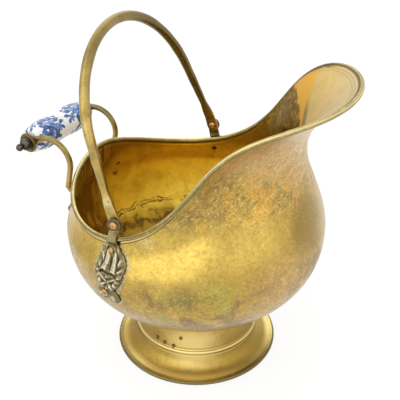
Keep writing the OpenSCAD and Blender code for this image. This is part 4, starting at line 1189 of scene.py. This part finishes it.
# %% Finish the rods, the rivets and the spindle
for side in ("left", "right"):
    rod = copy_of(f"handle_rod_{side}", f"forged_rod_{side}", grain=0.4, softness=6)
    dress(rod, "scuttle", "bail_brass", rod_finish, [f"handle_rod_{side}"], 60)
WAVES = np.array([[2.1, 0.9], [1.3, 2.3], [1.7, -1.1]])
HAMMERED = 0.09
for node, finish in (("pivot_rivet_left", rivet_finish), ("pivot_rivet_right", rivet_finish),
                     ("lug_rivets", rivet_finish), ("leaf_rivets", dark_rivet_finish),
                     ("foot_rivets", dark_rivet_finish)):
    rivets = copy_of(node, f"hammered_{node}")
    places = places_of(rivets)
    first, second = (places @ WAVES).T
    put_places(rivets, places + HAMMERED * sin(stack(first, second, first + second)))
    dress(rivets, "scuttle", "copper_rivet", finish, [node], 35)
spindle = copy_of("grip_spindle", "iron_spindle")
dress(spindle, "scuttle", "iron_wire", wire_finish, ["grip_spindle"], 35)
for node in ("rim_wire", "foot_wire"):
    nodes[node].data.materials.clear()
    nodes[node].data.materials.append(wire_finish)

# %% [markdown]
# ## The cast lion masks
# Each lug is one casting: the ear at the pivot, the strap over the rim, and a
# mask on the wall.  The copy of the solid is remeshed fine and even, and then
# its front is raised and sunk like clay, by a height for each place across
# and down the mask.

# %% Draw the mask as heights
MASK_H = 56.0
OUTLINE = ([0, 4, 9, 16, 25, 33, 38.5, 41, 46, 50, 53, 56],
           [6.2, 9.9, 13.9, 16.5, 16.2, 13.5, 8.9, 8.6, 12.5, 14.2, 13.2, 9.9])
LEANING = ([0, 14, 34, 46, 56], [0, 3.5, 3.5, 1.4, 1.4])


def bump_at(u, v, wide, high):
    return exp(-((u / wide) ** 2 + (v / high) ** 2))


def mask_height(u, v):
    """Height above the wall, by place across from the middle line and down from the top."""
    side = np.abs(u)
    # two broad planes of the brow, that spread downward, and a thin groove between them
    middle, half = 3.4 + 0.16 * (v - 5), 2.3 + 0.09 * (v - 5)
    plane = exp(-((side - middle) / half) ** 4) * smooth(v, 2.5, 7) * smooth(v, 22.6, 20.5)
    height = 1.3 + 2.3 * plane
    # the mane: broad rays that spread from the middle of the face
    around_face, reach = arctan2(v - 24, side), hypot(side, (v - 24) / 1.1)
    rays = 0.5 + 0.5 * cos(around_face * 15 + 0.6)
    band = smooth(side - middle - half, 0, 2) * smooth(v, 23, 20)
    band += smooth(reach, 9.5, 11.5) * smooth(v, 20, 24)
    height += np.clip(band, 0, 1) * smooth(v, 45, 39) * (0.4 + 1.4 * rays)
    # a deep line under the brow, the muzzle's two crossing folds, full cheeks, nose and chin
    height -= 1.2 * exp(-((v - 22.8 - 0.12 * side) / 0.9) ** 2) * smooth(side, 13, 10)
    folds = exp(-((side - 1.45 * np.abs(v - 32.6)) / 2.7) ** 2)
    height += 1.6 * folds * smooth(v, 23.5, 27) * smooth(v, 41, 37)
    height += 1.5 * bump_at(side - 8.6, v - 32.4, 2.9, 3.0)
    height += 1.6 * bump_at(u, v - 26.4, 2.4, 1.9) + 1.0 * bump_at(u, v - 40.0, 3.6, 1.6)
    # the two lower lobes, scrolled
    height += 2.8 * bump_at(side - 7.2, v - 50.3, 4.2, 4.4)
    height -= 0.9 * bump_at(side - 6.6, v - 50.8, 1.2, 1.3)
    # flat seats round the rivets
    for drop, seat_r in ((6.0, 4.0), (46.0, 4.4)):
        seat = exp(-((u ** 2 + (v - drop) ** 2) / seat_r ** 2) ** 2)
        height = height * (1 - seat) + 2.3 * seat
    return height * (1 - 0.55 * np.clip(side / np.interp(v, *OUTLINE), 0, 1) ** 8)


print("mask height at the cheek:", mask_height(np.array([8.6]), np.array([32.4])).round(2))

# %% [markdown]
# Each point of the front is then looked up on the wall behind it.  The height
# is worked out there and at eight places round about, so that the finish can
# tell what stands proud, where hands polish it, from what lies deep.

# %% Shape both lugs
NEAR_U = np.array([0, 2, -2, 0, 0, 1.4, -1.4, 1.4, -1.4])
NEAR_V = np.array([0, 0, 0, 2, -2, 1.4, 1.4, -1.4, -1.4])
FRONT_FROM, NOTCH = 0.9, (4.3, 5.6)
TOP_DROP, BEDDED = 5.6, 0.25
wall_tree = surface_of(wall_piece)
rim_line = rim(linspace(0, pi, 4001))
for name, middle_x, side in (("left", -32.0, 1), ("right", -28.0, -1)):
    lug = copy_of(f"lion_lug_{name}", f"cast_lion_mask_{name}", grain=0.4, softness=3)
    co = places_of(lug)
    on_rim = rim_line[np.argmin(np.abs(rim_line[:, 0] - middle_x))]
    lug_azimuth, top_h = arctan2(on_rim[1], on_rim[0]), on_rim[2] - TOP_DROP
    raised, lifted = np.full(len(co), 0.45), np.zeros(len(co))
    for index in np.nonzero(co[:, 2] < top_h + 1)[0]:
        x, y, z = co[index]
        place, _, _, gap = wall_tree.find_nearest(Vector(co[index] * MM), REACH)
        if place is None or gap / MM < FRONT_FROM:
            continue
        off, v = gap / MM, top_h - z
        u = (lug_azimuth - arctan2(side * y, x)) * hypot(x, y) - np.interp(v, *LEANING)
        heights = mask_height(u + NEAR_U, v + NEAR_V)
        width = np.interp(v, *OUTLINE)
        share = smooth(off, FRONT_FROM, 1.4) * smooth(v, -1.0, 1.5)
        share *= smooth(abs(u), width + 0.4, width - 1.0) * smooth(hypot(u, v - MASK_H - 1.5), *NOTCH)
        away = (Vector(co[index] * MM) - place).normalized()
        co[index] += np.array(away) * (BEDDED + heights[0] - off) * share
        raised[index], lifted[index] = 0.5 + (heights[0] - heights[1:].mean()) / 1.4, heights[0] * share
    put_places(lug, co)
    mark(lug, proud=raised, height_up=lifted)
    dress(lug, "scuttle", "cast_lug", lug_finish, [f"lion_lug_{name}"], 80)
